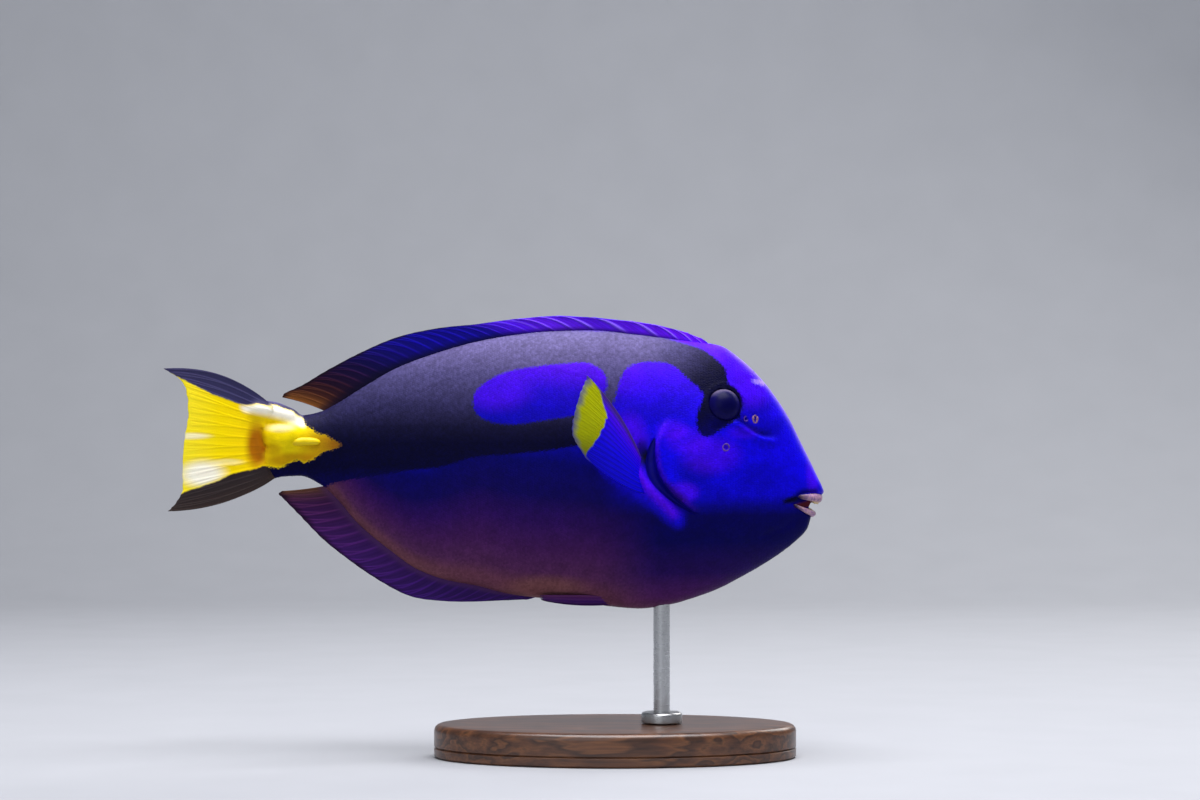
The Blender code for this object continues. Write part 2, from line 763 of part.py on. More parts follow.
def make_body():
    """Head, trunk and tail stalk, parted by thin cuts, with the gill covers let into the head."""
    reach = BODY_WIDTH
    head_line = sampled(GILL_LINE, 34)
    ahead = offset_line(head_line, -GAP / 2)
    behind = offset_line(head_line, GAP / 2)
    before_snout, past_tail, past_back = -20, BODY_LENGTH + 30, 80

    corners = [(before_snout, ahead[-1][1]), (before_snout, ahead[0][1])]
    front = prism("front", [*ahead, *corners], -reach, reach)
    head = part_of_body("head", copy_of(front, "front"))

    end = STALK_START - GAP / 2
    middle = prism("middle", [*behind, (end, behind[-1][1] - 20), (end, behind[0][1])], -reach, reach)
    trunk = part_of_body("trunk", middle)
    combine(trunk, "DIFFERENCE", gill_slot("slot", 1), gill_slot("slot", -1))

    start = STALK_START + GAP / 2
    corners = [(start, -past_back), (past_tail, -past_back), (past_tail, past_back), (start, past_back)]
    stalk = part_of_body("stalk", prism("rear", corners, -3 * reach, 3 * reach))
    combine(stalk, "DIFFERENCE", tail_spine("groove", 1, GAP), tail_spine("groove", -1, GAP))

    cover_outline = sampled(COVER_OUTLINE, 28)
    wider = grown_outline(cover_outline, GAP)
    cutters = [mouth_gape("gape"), lip("upper", LIP_UPPER, GAP), lip("lower", LIP_LOWER, GAP)]
    for side, word in ((-1, "right"), (1, "left")):
        cover = part_of_body("cover", copy_of(front, "front"), COVER_PROUD)
        combine(cover, "INTERSECT", prism("plug", cover_outline, side * COVER_INNER, side * reach))
        show(keep_largest(cover), f"gill_cover_{word}", "skin_blue")
        combine(head, "DIFFERENCE", prism("pocket", wider, side * (COVER_INNER - GAP), side * reach))
        cutters.append(eyeball("socket", side, GAP))
        cutters += [nostril("nostril", side, *place_of) for place_of in NOSTRILS]
    combine(head, "DIFFERENCE", *cutters)
    bpy.data.objects.remove(front)

    show(keep_largest(head), "head", "skin_blue")
    show(keep_largest(trunk), "trunk", "skin_blue")
    show(keep_largest(stalk), "tail_stalk", "fin_yellow")


def make_face():
    for side, word in ((-1, "right"), (1, "left")):
        show(eyeball("eye", side), f"eye_{word}", "eye")
    show(keep_largest(jaw("upper", LIP_UPPER, -1)), "lip_upper", "lip_pink")
    show(keep_largest(jaw("lower", LIP_LOWER, 1)), "lip_lower", "lip_pink")


def make_fins():
    count = DORSAL_SPINES + DORSAL_SOFT_RAYS
    front = fin_columns(DORSAL_SPINES, 0, 0.0, DORSAL_SPLIT - DORSAL_PARTING)
    rear = fin_columns(0, count - DORSAL_SPINES, DORSAL_SPLIT + DORSAL_PARTING, 1.0)
    grow_fin("dorsal_fin_spiny", "fin_violet", DORSAL_GUIDES, front, 5)
    grow_fin("dorsal_fin_soft", "fin_violet", DORSAL_GUIDES, rear, 5)
    grow_fin("anal_fin", "fin_violet", ANAL_GUIDES, fin_columns(ANAL_SPINES, ANAL_SOFT_RAYS), 5)
    grow_fin("tail_fin", "fin_yellow", CAUDAL_GUIDES, fin_columns(0, CAUDAL_RAYS), 7)
    for side, word in ((-1, "right"), (1, "left")):
        rays = fin_columns(1, PECTORAL_RAYS - 1)
        grow_fin(f"pectoral_fin_{word}", "fin_yellow", PECTORAL_GUIDES, rays, 6, side)
        rays = fin_columns(1, PELVIC_RAYS - 1)
        grow_fin(f"pelvic_fin_{word}", "fin_violet", PELVIC_GUIDES, rays, 6, side)
        show(keep_largest(tail_spine("spine", side)), f"tail_spine_{word}", "fin_yellow")


def disc(name, centre, radii, low, high, bevel, segments):
    """An upright round or oval plate with its upper edge rounded, as a helper."""
    profile = [(0.0, low)]
    for degrees in (0, 30, 60, 90):
        angle = math.radians(degrees)
        profile.append((bevel * (1 - math.cos(angle)), high - bevel * (1 - math.sin(angle))))
    vertices = []
    for inset, z in profile:
        for k in range(segments):
            x = centre[0] + (radii[0] - inset) * math.cos(turn(k, segments))
            y = centre[1] + (radii[1] - inset) * math.sin(turn(k, segments))
            vertices.append(Vector((x, y, z)) * MM)
    return capped(name, vertices, segments)


def make_stand():
    foot = (SNOUT_AHEAD - ROD_AT, 0)
    seat = BASE_HEIGHT + GAP
    base = disc("base", (0, 0), (BASE_LENGTH / 2, BASE_WIDTH / 2), 0, BASE_HEIGHT, BASE_CORNER, 48)
    show(base, "stand_base", "walnut")
    collar = disc("collar", foot, (COLLAR_DIAMETER / 2,) * 2, seat, seat + COLLAR_HEIGHT, 1.0, 24)
    bore = disc("bore", foot, (ROD_DIAMETER / 2 + GAP,) * 2, 0, AXIS_HEIGHT, 0.5, 16)
    show(combine(collar, "DIFFERENCE", bore), "stand_collar", "steel")
    rod = disc("rod", foot, (ROD_DIAMETER / 2,) * 2, seat, AXIS_HEIGHT, 0.5, 16)
    combine(rod, "DIFFERENCE", body_mesh("skin_with_gap", GAP))
    show(keep_largest(rod), "stand_rod", "steel")


def main():
    clear_scene()
    make_body()
    make_face()
    make_fins()
    make_stand()


main()
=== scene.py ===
# Regal blue tang in life size, on an oval walnut base.
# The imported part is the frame; this script gives the fish its skin, scales, fins, eyes and lips.
import bpy
import bmesh
import math
import numpy as np
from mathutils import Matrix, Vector
from mathutils.bvhtree import BVHTree
from mathutils.kdtree import KDTree


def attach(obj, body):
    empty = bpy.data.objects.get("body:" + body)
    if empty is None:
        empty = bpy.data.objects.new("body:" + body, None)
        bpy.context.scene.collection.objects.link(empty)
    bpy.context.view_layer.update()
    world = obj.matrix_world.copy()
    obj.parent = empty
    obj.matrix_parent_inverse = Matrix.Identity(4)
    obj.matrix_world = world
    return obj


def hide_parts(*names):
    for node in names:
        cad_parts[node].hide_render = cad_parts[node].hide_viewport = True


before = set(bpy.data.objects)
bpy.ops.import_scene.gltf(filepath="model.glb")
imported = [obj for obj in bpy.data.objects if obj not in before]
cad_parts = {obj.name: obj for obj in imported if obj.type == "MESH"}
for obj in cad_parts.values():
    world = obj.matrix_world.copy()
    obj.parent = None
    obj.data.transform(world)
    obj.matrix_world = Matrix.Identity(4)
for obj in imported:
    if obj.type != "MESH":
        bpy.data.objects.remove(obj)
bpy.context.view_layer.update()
print("frame loaded")

mm = 0.001

# The fish's own measures, in mm: s behind the snout, y to the fish's left, h above its axis.
fish = {
    "bodyLength": 206.0,
    "bodyWidth": 38.0,
    "axisHeight": 108.0,
    "snoutAhead": 76.0,
    "tailSwing": 27.0,  # degrees to the fish's right
    "swingStart": 165.0,
    "swingEnd": 212.0,
    "backSharpness": 0.3,
}
# By s: the back's and the belly's h, the body's share of its full width, and the shift of its widest level.
back = (
    (0, -10.7), (0.7, -9), (1.5, -7.3), (5, -0.4), (9, 7.6), (12.5, 14.8), (18, 23.5), (23.5, 30.5),
    (30.5, 37.1), (38, 41.9), (52, 43.8), (68, 45.8), (85, 47.4), (100, 47), (112, 45.8), (126, 43.4),
    (140, 39.5), (155, 34), (170, 25.4), (177, 21), (184, 17.6), (190, 16.5), (195, 18.8), (200, 21),
    (206, 21.6),
)
belly = (
    (0, -11.8), (0.6, -12.5), (1.4, -13), (2.6, -14.4), (3.6, -17), (4.6, -20.8), (6, -25), (10, -29.3),
    (16, -34), (23.5, -38.8), (31, -43), (38, -46.6), (45, -49.3), (56, -52.5), (67, -54), (78, -53.2),
    (89, -51.3), (107, -49.8), (115, -48.6), (126, -45.8), (137, -43.4), (148, -39.4), (158, -32.6),
    (170, -22.6), (177, -14.4), (183, -9), (191, -5.6), (197, -5.8), (206, -8.2),
)
width = (
    (0, 0.05), (0.7, 0.12), (2, 0.19), (5, 0.26), (12, 0.38), (25, 0.63), (40, 0.84), (55, 0.95), (75, 1.0),
    (95, 0.98), (115, 0.88), (135, 0.72), (155, 0.53), (170, 0.4), (182, 0.31), (191, 0.27), (198, 0.22),
    (203, 0.13), (206, 0.06),
)
widestLift = ((0, 0), (20, -0.12), (50, -0.1), (90, 0), (206, 0))
swellings = ((36, 20, 9, 9, 0.9), (44, -9, 14, 20, 0.8), (191, 10, 6, 6, 0.9))  # s, h, long, tall, height

# The photo's frame, for what is drawn on the fish at a place seen in the photo.
photo = {
    "mmPerPixel": 0.365,  # on the fish's middle plane
    "cameraX": -5.5,
    "cameraZ": 130.0,
    "cameraBack": 1200.0,
    "centre": (600.0, 400.0),
    "snout": (824, 460),  # the pixel of the snout on the fish's axis
    "lens": 98.7,
    "sensor": 36.0,
}


def through(points, at):
    # smooth curve through (x, value) points that doesn't overshoot them
    xs, vs = np.array(points, float).T
    at = np.clip(np.asarray(at, float), xs[0], xs[-1])
    step = np.diff(xs)
    rise = np.diff(vs) / step
    slope = np.zeros(len(xs))
    slope[0], slope[-1] = rise[0], rise[-1]
    product = rise[:-1] * rise[1:]
    total = rise[:-1] + rise[1:]
    turning = product > 0
    slope[1:-1][turning] = 2 * product[turning] / total[turning]
    i = np.clip(np.searchsorted(xs, at, side="right") - 1, 0, len(step) - 1)
    t = (at - xs[i]) / step[i]
    return (
        vs[i] * (1 + 2 * t) * (1 - t) ** 2
        + slope[i] * step[i] * t * (1 - t) ** 2
        + vs[i + 1] * t * t * (3 - 2 * t)
        + slope[i + 1] * step[i] * t * t * (t - 1)
    )


def along(points, t):
    # Catmull-Rom curve through points of any dimension, t from 0 to 1
    p = np.array(points, float)
    last = len(p) - 1
    p = np.vstack([2 * p[0] - p[1], p, 2 * p[last] - p[last - 1]])
    where = np.clip(np.asarray(t, float), 0, 1) * last
    i = np.minimum(where.astype(int), last - 1)
    f = (where - i)[..., None]
    a, b, c, d = p[i], p[i + 1], p[i + 2], p[i + 3]
    bend = (2 * a - 5 * b + 4 * c - d) * f**2 + (3 * b - a - 3 * c + d) * f**3
    return 0.5 * (2 * b + (c - a) * f + bend)


def smooth(t):
    t = np.clip(t, 0, 1)
    return t * t * (3 - 2 * t)


def unit(v):
    return v / np.maximum(np.linalg.norm(v, axis=-1, keepdims=True), 1e-9)


def circle(around):
    return np.arange(around) * 2 * math.pi / around


def swingAt(s):
    t = smooth((s - fish["swingStart"]) / (fish["swingEnd"] - fish["swingStart"]))
    return math.radians(fish["tailSwing"]) * t


def backbone(s, steps=24):
    # distance back, distance to the left and heading of the backbone
    s = np.asarray(s, float)
    start = fish["swingStart"]
    stride = np.maximum(s - start, 0) / steps
    gone, side = np.minimum(s, start), np.zeros_like(s)
    for i in range(steps):
        heading = swingAt(start + (i + 0.5) * stride)
        gone = gone + np.cos(heading) * stride
        side = side - np.sin(heading) * stride
    return gone, side, swingAt(s)


def place(s, y, h):
    # the fish's measures in mm to world points in mm
    gone, side, heading = backbone(s)
    x = fish["snoutAhead"] - gone - y * np.sin(heading)
    return np.stack([x, side + y * np.cos(heading), h + fish["axisHeight"] + 0 * x], axis=-1)


def swell(s, h):
    return sum(
        height * np.exp(-(((s - atS) / long) ** 2) - ((h - atH) / tall) ** 2)
        for atS, atH, long, tall, height in swellings
    )


def section(s, angle):
    # y and h of the skin; the angle is 0 on the back and pi on the belly
    top, bottom = through(back, s), through(belly, s)
    level, turn = np.cos(angle), np.sin(angle)
    lift = through(widestLift, s)
    side = np.sign(turn) * np.abs(turn) ** (1 + fish["backSharpness"] * np.maximum(level, 0))
    h = (top + bottom) / 2 + (top - bottom) / 2 * (level + lift * (1 - level * level))
    return (through(width, s) * fish["bodyWidth"] / 2 + swell(s, h)) * side, h


def angleAt(s, h):
    # the section's angle where the skin has that h
    s, h = np.broadcast_arrays(np.asarray(s, float), np.asarray(h, float))
    low, high = np.zeros(s.shape), np.full(s.shape, math.pi)
    for _ in range(40):
        middle = (low + high) / 2
        above = section(s, middle)[1] > h
        low, high = np.where(above, middle, low), np.where(above, high, middle)
    return low


def skinY(s, h):
    return section(s, angleAt(s, h))[0]


def toPhoto(s, y, h):
    # where the fish's right side shows this point, in the photo's pixels; the left side mirrors it
    x, near, z = np.moveaxis(place(s, -np.abs(y), h), -1, 0)
    shrink = photo["cameraBack"] / (photo["cameraBack"] + near) / photo["mmPerPixel"]
    px = photo["centre"][0] + (x - photo["cameraX"]) * shrink
    return np.stack([px, photo["centre"][1] - (z - photo["cameraZ"]) * shrink], axis=-1)


def lineDistance(points, line, closed=False):
    # distance in mm from pixels to a smooth line through pixels, and how far along it that is
    count = len(line) * 4
    if closed:
        wrapped = [line[-1], *line, line[0], line[1]]
        dense = along(wrapped, np.linspace(1, len(line) + 1, count + 1) / (len(wrapped) - 1))
    else:
        dense = along(line, np.linspace(0, 1, count + 1))
    best = np.full(len(points), 1e9)
    where = np.zeros(len(points))
    for i in range(len(dense) - 1):
        a, b = dense[i], dense[i + 1]
        run = b - a
        t = np.clip(((points - a) @ run) / max(run @ run, 1e-9), 0, 1)
        gap = np.hypot(*(points - a - t[:, None] * run).T)
        closer = gap < best
        best[closer] = gap[closer]
        where[closer] = (i + t[closer]) / (len(dense) - 1)
    return best * photo["mmPerPixel"], where, dense


def inside(points, outline):
    # distance in mm to a closed smooth outline, positive inside it
    gap, _, dense = lineDistance(points, outline, closed=True)
    crossings = np.zeros(len(points), int)
    for a, b in zip(dense[:-1], dense[1:]):
        straddles = (a[1] > points[:, 1]) != (b[1] > points[:, 1])
        rise = b[1] - a[1] if abs(b[1] - a[1]) > 1e-9 else 1e-9
        crossings += straddles & (points[:, 0] < a[0] + (points[:, 1] - a[1]) * (b[0] - a[0]) / rise)
    return np.where(crossings % 2 == 1, gap, -gap)


# Markings, as outlines in the photo's pixels.
marks = {
    "black": (
        (318, 492), (330, 486), (340, 482.5), (367, 477.6), (410, 470.4), (443, 467), (474, 457), (515, 454),
        (551, 450), (576, 446), (587, 445), (598, 438), (607, 425), (612, 410), (617, 395), (623, 375),
        (630, 367), (640, 363), (650, 362), (665, 363), (675, 366), (683, 373), (690, 380), (700, 388),
        (704, 395), (702, 403), (699, 413), (698, 425), (701, 433), (707, 437), (714, 435), (722, 430),
        (729, 426), (736, 420), (742, 415), (742, 404), (740, 395), (735, 388), (730, 385), (728, 378),
        (727, 371), (722, 364), (714, 357), (704, 350), (690, 345), (660, 337), (620, 332), (560, 330),
        (500, 331), (460, 334), (400, 320), (300, 370), (230, 360), (140, 350), (130, 440), (140, 530),
        (230, 530), (290, 508),
    ),
    "oval": (
        (474, 405), (476, 394), (483, 385), (495, 377), (515, 370), (540, 366), (565, 363.5), (585, 362.5),
        (598, 367), (606, 375), (608, 384), (606, 393), (600, 404), (590, 411), (575, 415.5), (560, 418),
        (540, 421), (520, 424), (500, 423.5), (487, 420), (478, 414),
    ),
    "yellow": (
        (343, 445), (338, 441.5), (332, 438), (326, 434.5), (319, 433.5), (313, 428.5), (308, 426),
        (305, 420), (302, 417), (296, 416.5), (291, 413.5), (283, 410.5), (275, 406), (264, 405.5),
        (255, 403.5), (247, 405), (240, 404), (230, 400.5), (220, 397), (210, 393), (200, 388), (190, 383),
        (182, 379),
        (160, 372), (140, 400), (140, 470), (160, 503), (181, 494), (190, 490), (200, 487), (210, 483.5),
        (220, 480), (230, 475), (240, 472), (250, 470), (256, 468.5), (262, 466), (272, 467), (281, 468),
        (287, 465), (293, 462), (299, 460.5), (305, 463), (310, 461), (316, 458.5), (321, 454.5), (327, 451),
        (334, 450),
    ),
    "lobe": (
        (604, 412), (616, 428), (630, 446), (641, 461), (650, 474), (657, 485), (664, 494), (672, 502),
        (681, 511), (685, 520), (681, 527), (670, 523), (658, 513), (646, 505), (634, 496), (620, 487),
        (607, 476), (595, 462), (588, 450), (598, 430),
    ),
    "wing": (
        (590, 378), (596, 385), (600, 392), (602, 400), (604, 408), (607, 417), (605, 420), (604, 426),
        (601, 430), (599, 436), (595, 441), (592, 446), (588, 450), (582, 462), (574, 452), (573, 430),
        (575, 405), (580, 388),
    ),
}

# Lines that the skin rises or sinks along, in the photo's pixels.
lines = {
    "cover": (
        (672, 417), (668, 422), (662, 432), (658, 441), (657, 449), (658, 458), (660, 468), (664, 478),
        (670, 486), (677, 493), (686, 501), (694, 507.5), (703, 512),
    ),
    "girdle": (
        (631, 452), (634, 462), (639, 473), (645, 483), (652, 491.5), (660, 499.5), (668, 507), (674, 514),
        (678, 522),
    ),
    "wingRoot": ((612, 440), (622, 458), (634, 474), (648, 489), (661, 501), (674, 514)),
    "cheekRidge": ((727, 423), (738, 425), (747, 430.5), (758, 438), (770, 442), (783, 443)),
    "cheekGroove": ((731, 416), (739, 419), (746, 424), (755, 430.5), (767, 435), (780, 437)),
    "eyeGroove": ((741, 396), (743, 404), (741, 412), (735, 418), (725, 424), (713, 427)),
    "mouthCrease": (
        (782, 504), (788, 501.5), (794, 498.5), (799, 494.5), (805, 492.5), (812, 491.5), (819, 491),
    ),
    "chin": ((797, 514), (789, 524), (776, 531), (758, 537)),
    "forehead": ((735, 368), (755, 380), (775, 400), (793, 428), (806, 455), (817, 481)),
    "slit": ((652, 447), (651, 460), (655, 474), (664, 487), (676, 498), (690, 508)),
    "foldTop": ((247, 406), (262, 409), (280, 413), (302, 421)),
    "stalkTop": ((258, 397), (272, 400), (284, 404), (296, 409), (306, 415)),
    "foldBetween": ((263, 423), (272, 422.5), (282, 424.5), (291, 427)),
    "foldBelow": ((270, 448), (263, 443), (260.5, 435), (262, 427)),
    "foldRear": ((255, 414), (252, 426), (253, 440), (256, 454), (262, 464)),
    "analMuscle": ((300, 490), (330, 512), (360, 537), (395, 562), (430, 578), (480, 589)),
    "sideLine": ((660, 405), (620, 388), (560, 368), (500, 366), (440, 382), (390, 402), (345, 425)),
}

# The ridges and grooves along them: height and half width in mm, and the share of each end that fades out.
ridges = {
    "girdle": (0.9, 1.6, 0.12), "wingRoot": (2.0, 3.8, 0.25), "cheekRidge": (1.0, 1.6, 0.25),
    "cheekGroove": (-1.0, 1.2, 0.2), "mouthCrease": (-0.6, 0.8, 0.12), "chin": (-0.25, 1.2, 0.12),
    "eyeGroove": (-0.55, 1.0, 0.12), "sideLine": (0.08, 0.55, 0.12), "forehead": (0.2, 1.2, 0.12),
    "analMuscle": (0.5, 2.6, 0.2),
}
tailRidges = {
    "foldTop": (2.1, 2.3, 0.2), "foldBetween": (-0.6, 0.9, 0.3), "foldBelow": (-0.8, 0.9, 0.12),
    "foldRear": (-0.6, 1.8, 0.12),
}
bulge = {"at": (283, 435), "half": (19.5, 11), "height": 2.0}  # the stalk's thick fold
cover = {"height": 1.3, "ahead": 4.2, "behind": 0.6}  # the gill cover's rim

# Pits, as centre, half sizes in pixels and depth: ring pit, both nostrils and the hollow over the gill slit.
pits = (
    (726, 447.5, 2.466, 2.466, 0.4), (755, 419, 2.479, 3.563, 0.8), (746, 418.5, 2.055, 2.055, 0.8),
    (641, 452, 4.5, 8, 1.0),
)

# Paints along the lines, as share, half width and fade, and in soft spots, as centre, half sizes and share.
# Most are painted light and shade: highlights where flesh stands up to the light, shade where it dips, in
# creases and in the tail's folds.
strokes = {
    # painted highlights along the cover's rim and the shoulder girdle, where they stand up to the light
    "glow": (("cover", 0.3, 1.0, 0.2), ("girdle", 0.75, 1.7, 0.15)),
    "shade": (
        ("cheekGroove", 0.7, 1.1, 0.3), ("mouthCrease", 0.7, 0.9, 0.08), ("eyeGroove", 0.4, 1.0, 0.01),
        ("slit", 0.8, 2.8, 0.15),
    ),
    # grey-violet along the top of the tail's stalk: a painted highlight on the black skin
    "slate": (("stalkTop", 0.75, 1.5, 0.01),),
    # yellow-brown along the muscle over the anal fin: the belly's own tone with a painted highlight
    "ochre": (("analMuscle", 0.55, 3.8, 0.3),),
}
softSpots = {
    # painted shade, orange-brown, in and under the tail's folds and below the spine
    "rust": ((256, 446, 9, 21, 0.9), (292, 460, 26, 7, 0.6), (322, 446, 20, 13, 0.4), (272, 449, 9, 5, 0.4)),
    # painted highlights, whitish, on the tail fin and on the stalk's folds
    "pale": (
        (203, 474, 20, 12, 0.95), (190, 436, 18, 3, 0.6), (228, 462, 14, 3, 0.3), (281, 428, 13, 4, 0.4),
    ),
    # painted highlights on the blue oval, the head and the shoulder
    "glow": (
        (496, 388, 34, 20, 0.35), (813, 470, 6, 26, 0.3), (712, 455, 26, 17, 0.3), (744, 433, 14, 6, 0.2),
        (630, 438, 16, 22, 0.4), (674, 430, 14, 9, 0.3), (688, 440, 20, 12, 0.25), (684, 492, 14, 9, 0.35),
        (752, 388, 20, 18, 0.3),
    ),
    # painted shade: deeper blue where the head and the shoulder dip
    "deep": (
        (697, 472, 18, 15, 0.6), (760, 476, 20, 12, 0.4), (771, 427, 15, 9, 0.5), (676, 406, 18, 12, 0.3),
        (650, 415, 18, 10, 0.3), (756, 409, 15, 10, 0.5), (714, 494, 16, 9, 0.35),
    ),
    "shade": (
        (643, 453, 6, 12, 0.7), (755, 419, 1.8, 3.2, 0.8), (746.3, 418.5, 2, 2, 0.9), (726, 447.5, 2, 2, 0.4),
        (797.5, 500.5, 11, 3.4, 0.8),
    ),
    # a yellow-brown patch low on the belly: its own tone with a painted highlight
    "ochre": ((545, 588, 36, 11, 0.6),),
}
foreheadLine = {"share": 0.75, "half": 1.6, "endsAt": 42, "fade": 14, "lowest": -12}
scuff = {"at": (758.5, 383), "turn": ((0.97, -0.24), (0.24, 0.97)), "half": (5.5, 2.2), "share": 0.8}


def ridge(spots, name, height, half, fade):
    # strongest along the line, nothing at its ends
    gap, where = lineDistance(spots, lines[name])[:2]
    return height * smooth(where / fade) * smooth((1 - where) / fade) * np.exp(-((gap / half) ** 2))


def patch(spots, px, py, wide, tall, share):
    away = (spots - (px, py)) / (wide, tall)
    return share * smooth(1.5 - np.hypot(*away.T))


def laid(spots, name):
    # how strong a paint is, from its strokes and soft spots
    strips = sum(ridge(spots, *given) for given in strokes.get(name, ()))
    return strips + sum(patch(spots, *given) for given in softSpots.get(name, ()))


def tailFolds(spots):
    # skin folded on the inside of the tail's bend, over the stalk and the fin's root
    away = (spots - bulge["at"]) / bulge["half"]
    up = bulge["height"] * smooth(1.5 - 1.1 * np.hypot(*away.T))
    return up + sum(ridge(spots, name, *sizes) for name, sizes in tailRidges.items())


def tailPaints(spots):
    # painted shade, brown, where the folds shade; painted highlights, whitish, on top of them and in patches
    # on the fin; both inside the yellow only
    within = smooth(inside(spots, marks["yellow"]) / 1.6 + 0.3)
    pale = laid(spots, "pale") + smooth(1.4 - lineDistance(spots, lines["foldTop"])[0] / 2.4)
    return {"rust": np.clip(laid(spots, "rust"), 0, 1) * within, "pale": np.clip(pale, 0, 1) * within}


def eyeGap(s, h):
    return np.hypot(s - eye["at"][0], h - eye["at"][1]) - eye["radius"]


def relief(s, h, y):
    # how far the skin stands over the plain loft, in mm
    spots = toPhoto(s, y, h)
    up = sum(ridge(spots, name, *sizes) for name, sizes in ridges.items())
    # the cover's rim: gently raised in front of the slit, and gone behind it
    gap, where = lineDistance(spots, lines["cover"])[:2]
    px, py = np.array(lines["cover"]).T
    half = np.where(spots[:, 0] > np.interp(spots[:, 1], py, px), cover["ahead"], cover["behind"])
    up += cover["height"] * smooth(where / 0.3) * smooth((1 - where) / 0.15) * np.exp(-((gap / half) ** 2))
    for px, py, wide, tall, deep in pits:
        away = (spots - (px, py)) / (wide, tall)
        up -= deep * np.exp(-(away**2).sum(axis=1))
    high, half = eye["edge"]
    up += high * np.exp(-(((eyeGap(s, h) - half) / half) ** 2))  # the raised edge round the eye
    up += (y < 0) * tailFolds(spots)
    return up * smooth(s / 6)  # nothing rises where the snout closes


eye = {"at": (36.3, 20.6), "radius": 6.2, "bulge": 5.0, "sink": 2.5, "edge": (0.22, 0.8)}
skin = {
    "around": 232,
    "spacing": ((0, 0.3), (8, 0.55), (30, 0.62), (64, 0.7), (80, 1.5), (160, 1.5), (178, 0.7), (206, 0.5)),
    "gape": (
        (-4, 10, -15.0, -22.4), (3.4, 10, -15.0, -19.0), (4.4, 6.2, -15.0, -19.0), (5.6, 4.8, -15.1, -18.6),
        (8.5, 3.6, -15.0, -16.8), (13, 1.6, -15.2, -16.0),
    ),
    "slit": ((61.4, 9), (61.6, 1), (59.6, -6.6), (53.6, -13.7), (45, -19.8)),
    "slitWidth": 4.2,
    "slitDepth": 2.7,
    "seatGap": 0.12,
    "cutFrom": 0.15,  # mm off the whole skin, from where a face belongs to a cut
    "mouthEnds": 16,
}
lips = {
    "lip_upper": {"front": (1.9, -13.7), "corner": (9.8, -13.0), "height": 1.75, "depth": 1.5, "up": -1},
    "lip_lower": {"front": (4.2, -19.4), "corner": (11.4, -15.9), "height": 1.2, "depth": 1.4, "up": 1},
}
lipTaper, lipBluntness = 0.65, 1.7


def addObject(name, data):
    made = bpy.data.objects.new(name, data)
    bpy.context.scene.collection.objects.link(made)
    return made


def newObject(name, points, faces, material=None):
    # a mesh from world points in mm, with smooth faces turned outwards
    mesh = bpy.data.meshes.new(name)
    mesh.from_pydata((np.asarray(points) * mm).tolist(), [], faces)
    made = addObject(name, mesh)
    bm = bmesh.new()
    bm.from_mesh(mesh)
    bmesh.ops.recalc_face_normals(bm, faces=bm.faces)
    if bm.calc_volume(signed=True) < 0:
        bmesh.ops.reverse_faces(bm, faces=bm.faces)
    bm.to_mesh(mesh)
    bm.free()
    if material:
        mesh.materials.append(material)
    mesh.shade_smooth()
    return made


def wear(made, slot, *nodes):
    # the whole fish is one body; the nodes named are those that this piece stands for
    if nodes:
        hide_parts(*nodes)
    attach(made, "root")
    return made


def setValues(made, name, values):
    # numbers or vectors on the points
    values = np.asarray(values, np.float32)
    kind, field = ("FLOAT_VECTOR", "vector") if values.ndim > 1 else ("FLOAT", "value")
    layer = made.data.attributes.new(name, kind, "POINT")
    layer.data.foreach_set(field, values.ravel())


def ringFaces(rings, around):
    i, k = np.meshgrid(np.arange(rings - 1), np.arange(around), indexing="ij")
    m = (k + 1) % around
    quads = np.stack([i * around + k, i * around + m, (i + 1) * around + m, (i + 1) * around + k], axis=-1)
    return quads.reshape(-1, 4).tolist()


def capped(name, rings, material=None):
    # a closed solid from rings of points, each ring an array of the same length
    rings = np.asarray(rings)
    count, around = rings.shape[:2]
    faces = ringFaces(count, around)
    faces.append(list(range(around))[::-1])
    faces.append(list(range((count - 1) * around, count * around)))
    return newObject(name, rings.reshape(-1, 3), faces, material)


def settle(made):
    # takes the result of the object's modifiers as its mesh
    bpy.context.view_layer.update()
    evaluated = made.evaluated_get(bpy.context.evaluated_depsgraph_get())
    mesh = bpy.data.meshes.new_from_object(evaluated)
    made.modifiers.clear()
    made.data = mesh
    mesh.name = made.name
    return made


def colour(code):
    # sRGB hex to linear
    parts = [int(code[i : i + 2], 16) / 255 for i in (1, 3, 5)]
    return [p / 12.92 if p <= 0.04045 else ((p + 0.055) / 1.055) ** 2.4 for p in parts] + [1.0]


def fill(tree, made, inputs):
    # in a material a text is a hex colour, or else the name of a value on the points
    for socket, value in inputs.items():
        if isinstance(value, str) and tree.type == "SHADER":
            if value[0] == "#":
                value = colour(value)
            else:
                value = addNode(tree, "ShaderNodeAttribute", {"attribute_name": value}, out="Fac")
        if isinstance(value, bpy.types.NodeSocket):
            tree.links.new(value, made.inputs[socket])
        else:
            made.inputs[socket].default_value = value


def addNode(tree, kind, settings=None, inputs=None, out=0, stops=None):
    # adds a node with its settings and links, and hands back one of its outputs
    made = tree.nodes.new(kind)
    for name, value in (settings or {}).items():
        setattr(made, name, value)
    fill(tree, made, inputs or {})
    if stops:
        ramp = made.color_ramp
        while len(ramp.elements) < len(stops):
            ramp.elements.new(0.5)
        for element, (at, code) in zip(ramp.elements, stops):
            element.position = at
            element.color = colour(code)
    return made.outputs[out] if made.outputs else None


mixed = {"data_type": "RGBA"}
multiplied = {"data_type": "RGBA", "blend_type": "MULTIPLY"}
softStep = {"interpolation_type": "SMOOTHSTEP"}
timesPlus = {"operation": "MULTIPLY_ADD"}


def newMaterial(name, values):
    made = bpy.data.materials.new(name)
    made.use_nodes = True
    fill(made.node_tree, made.node_tree.nodes["Principled BSDF"], values)
    return made, made.node_tree


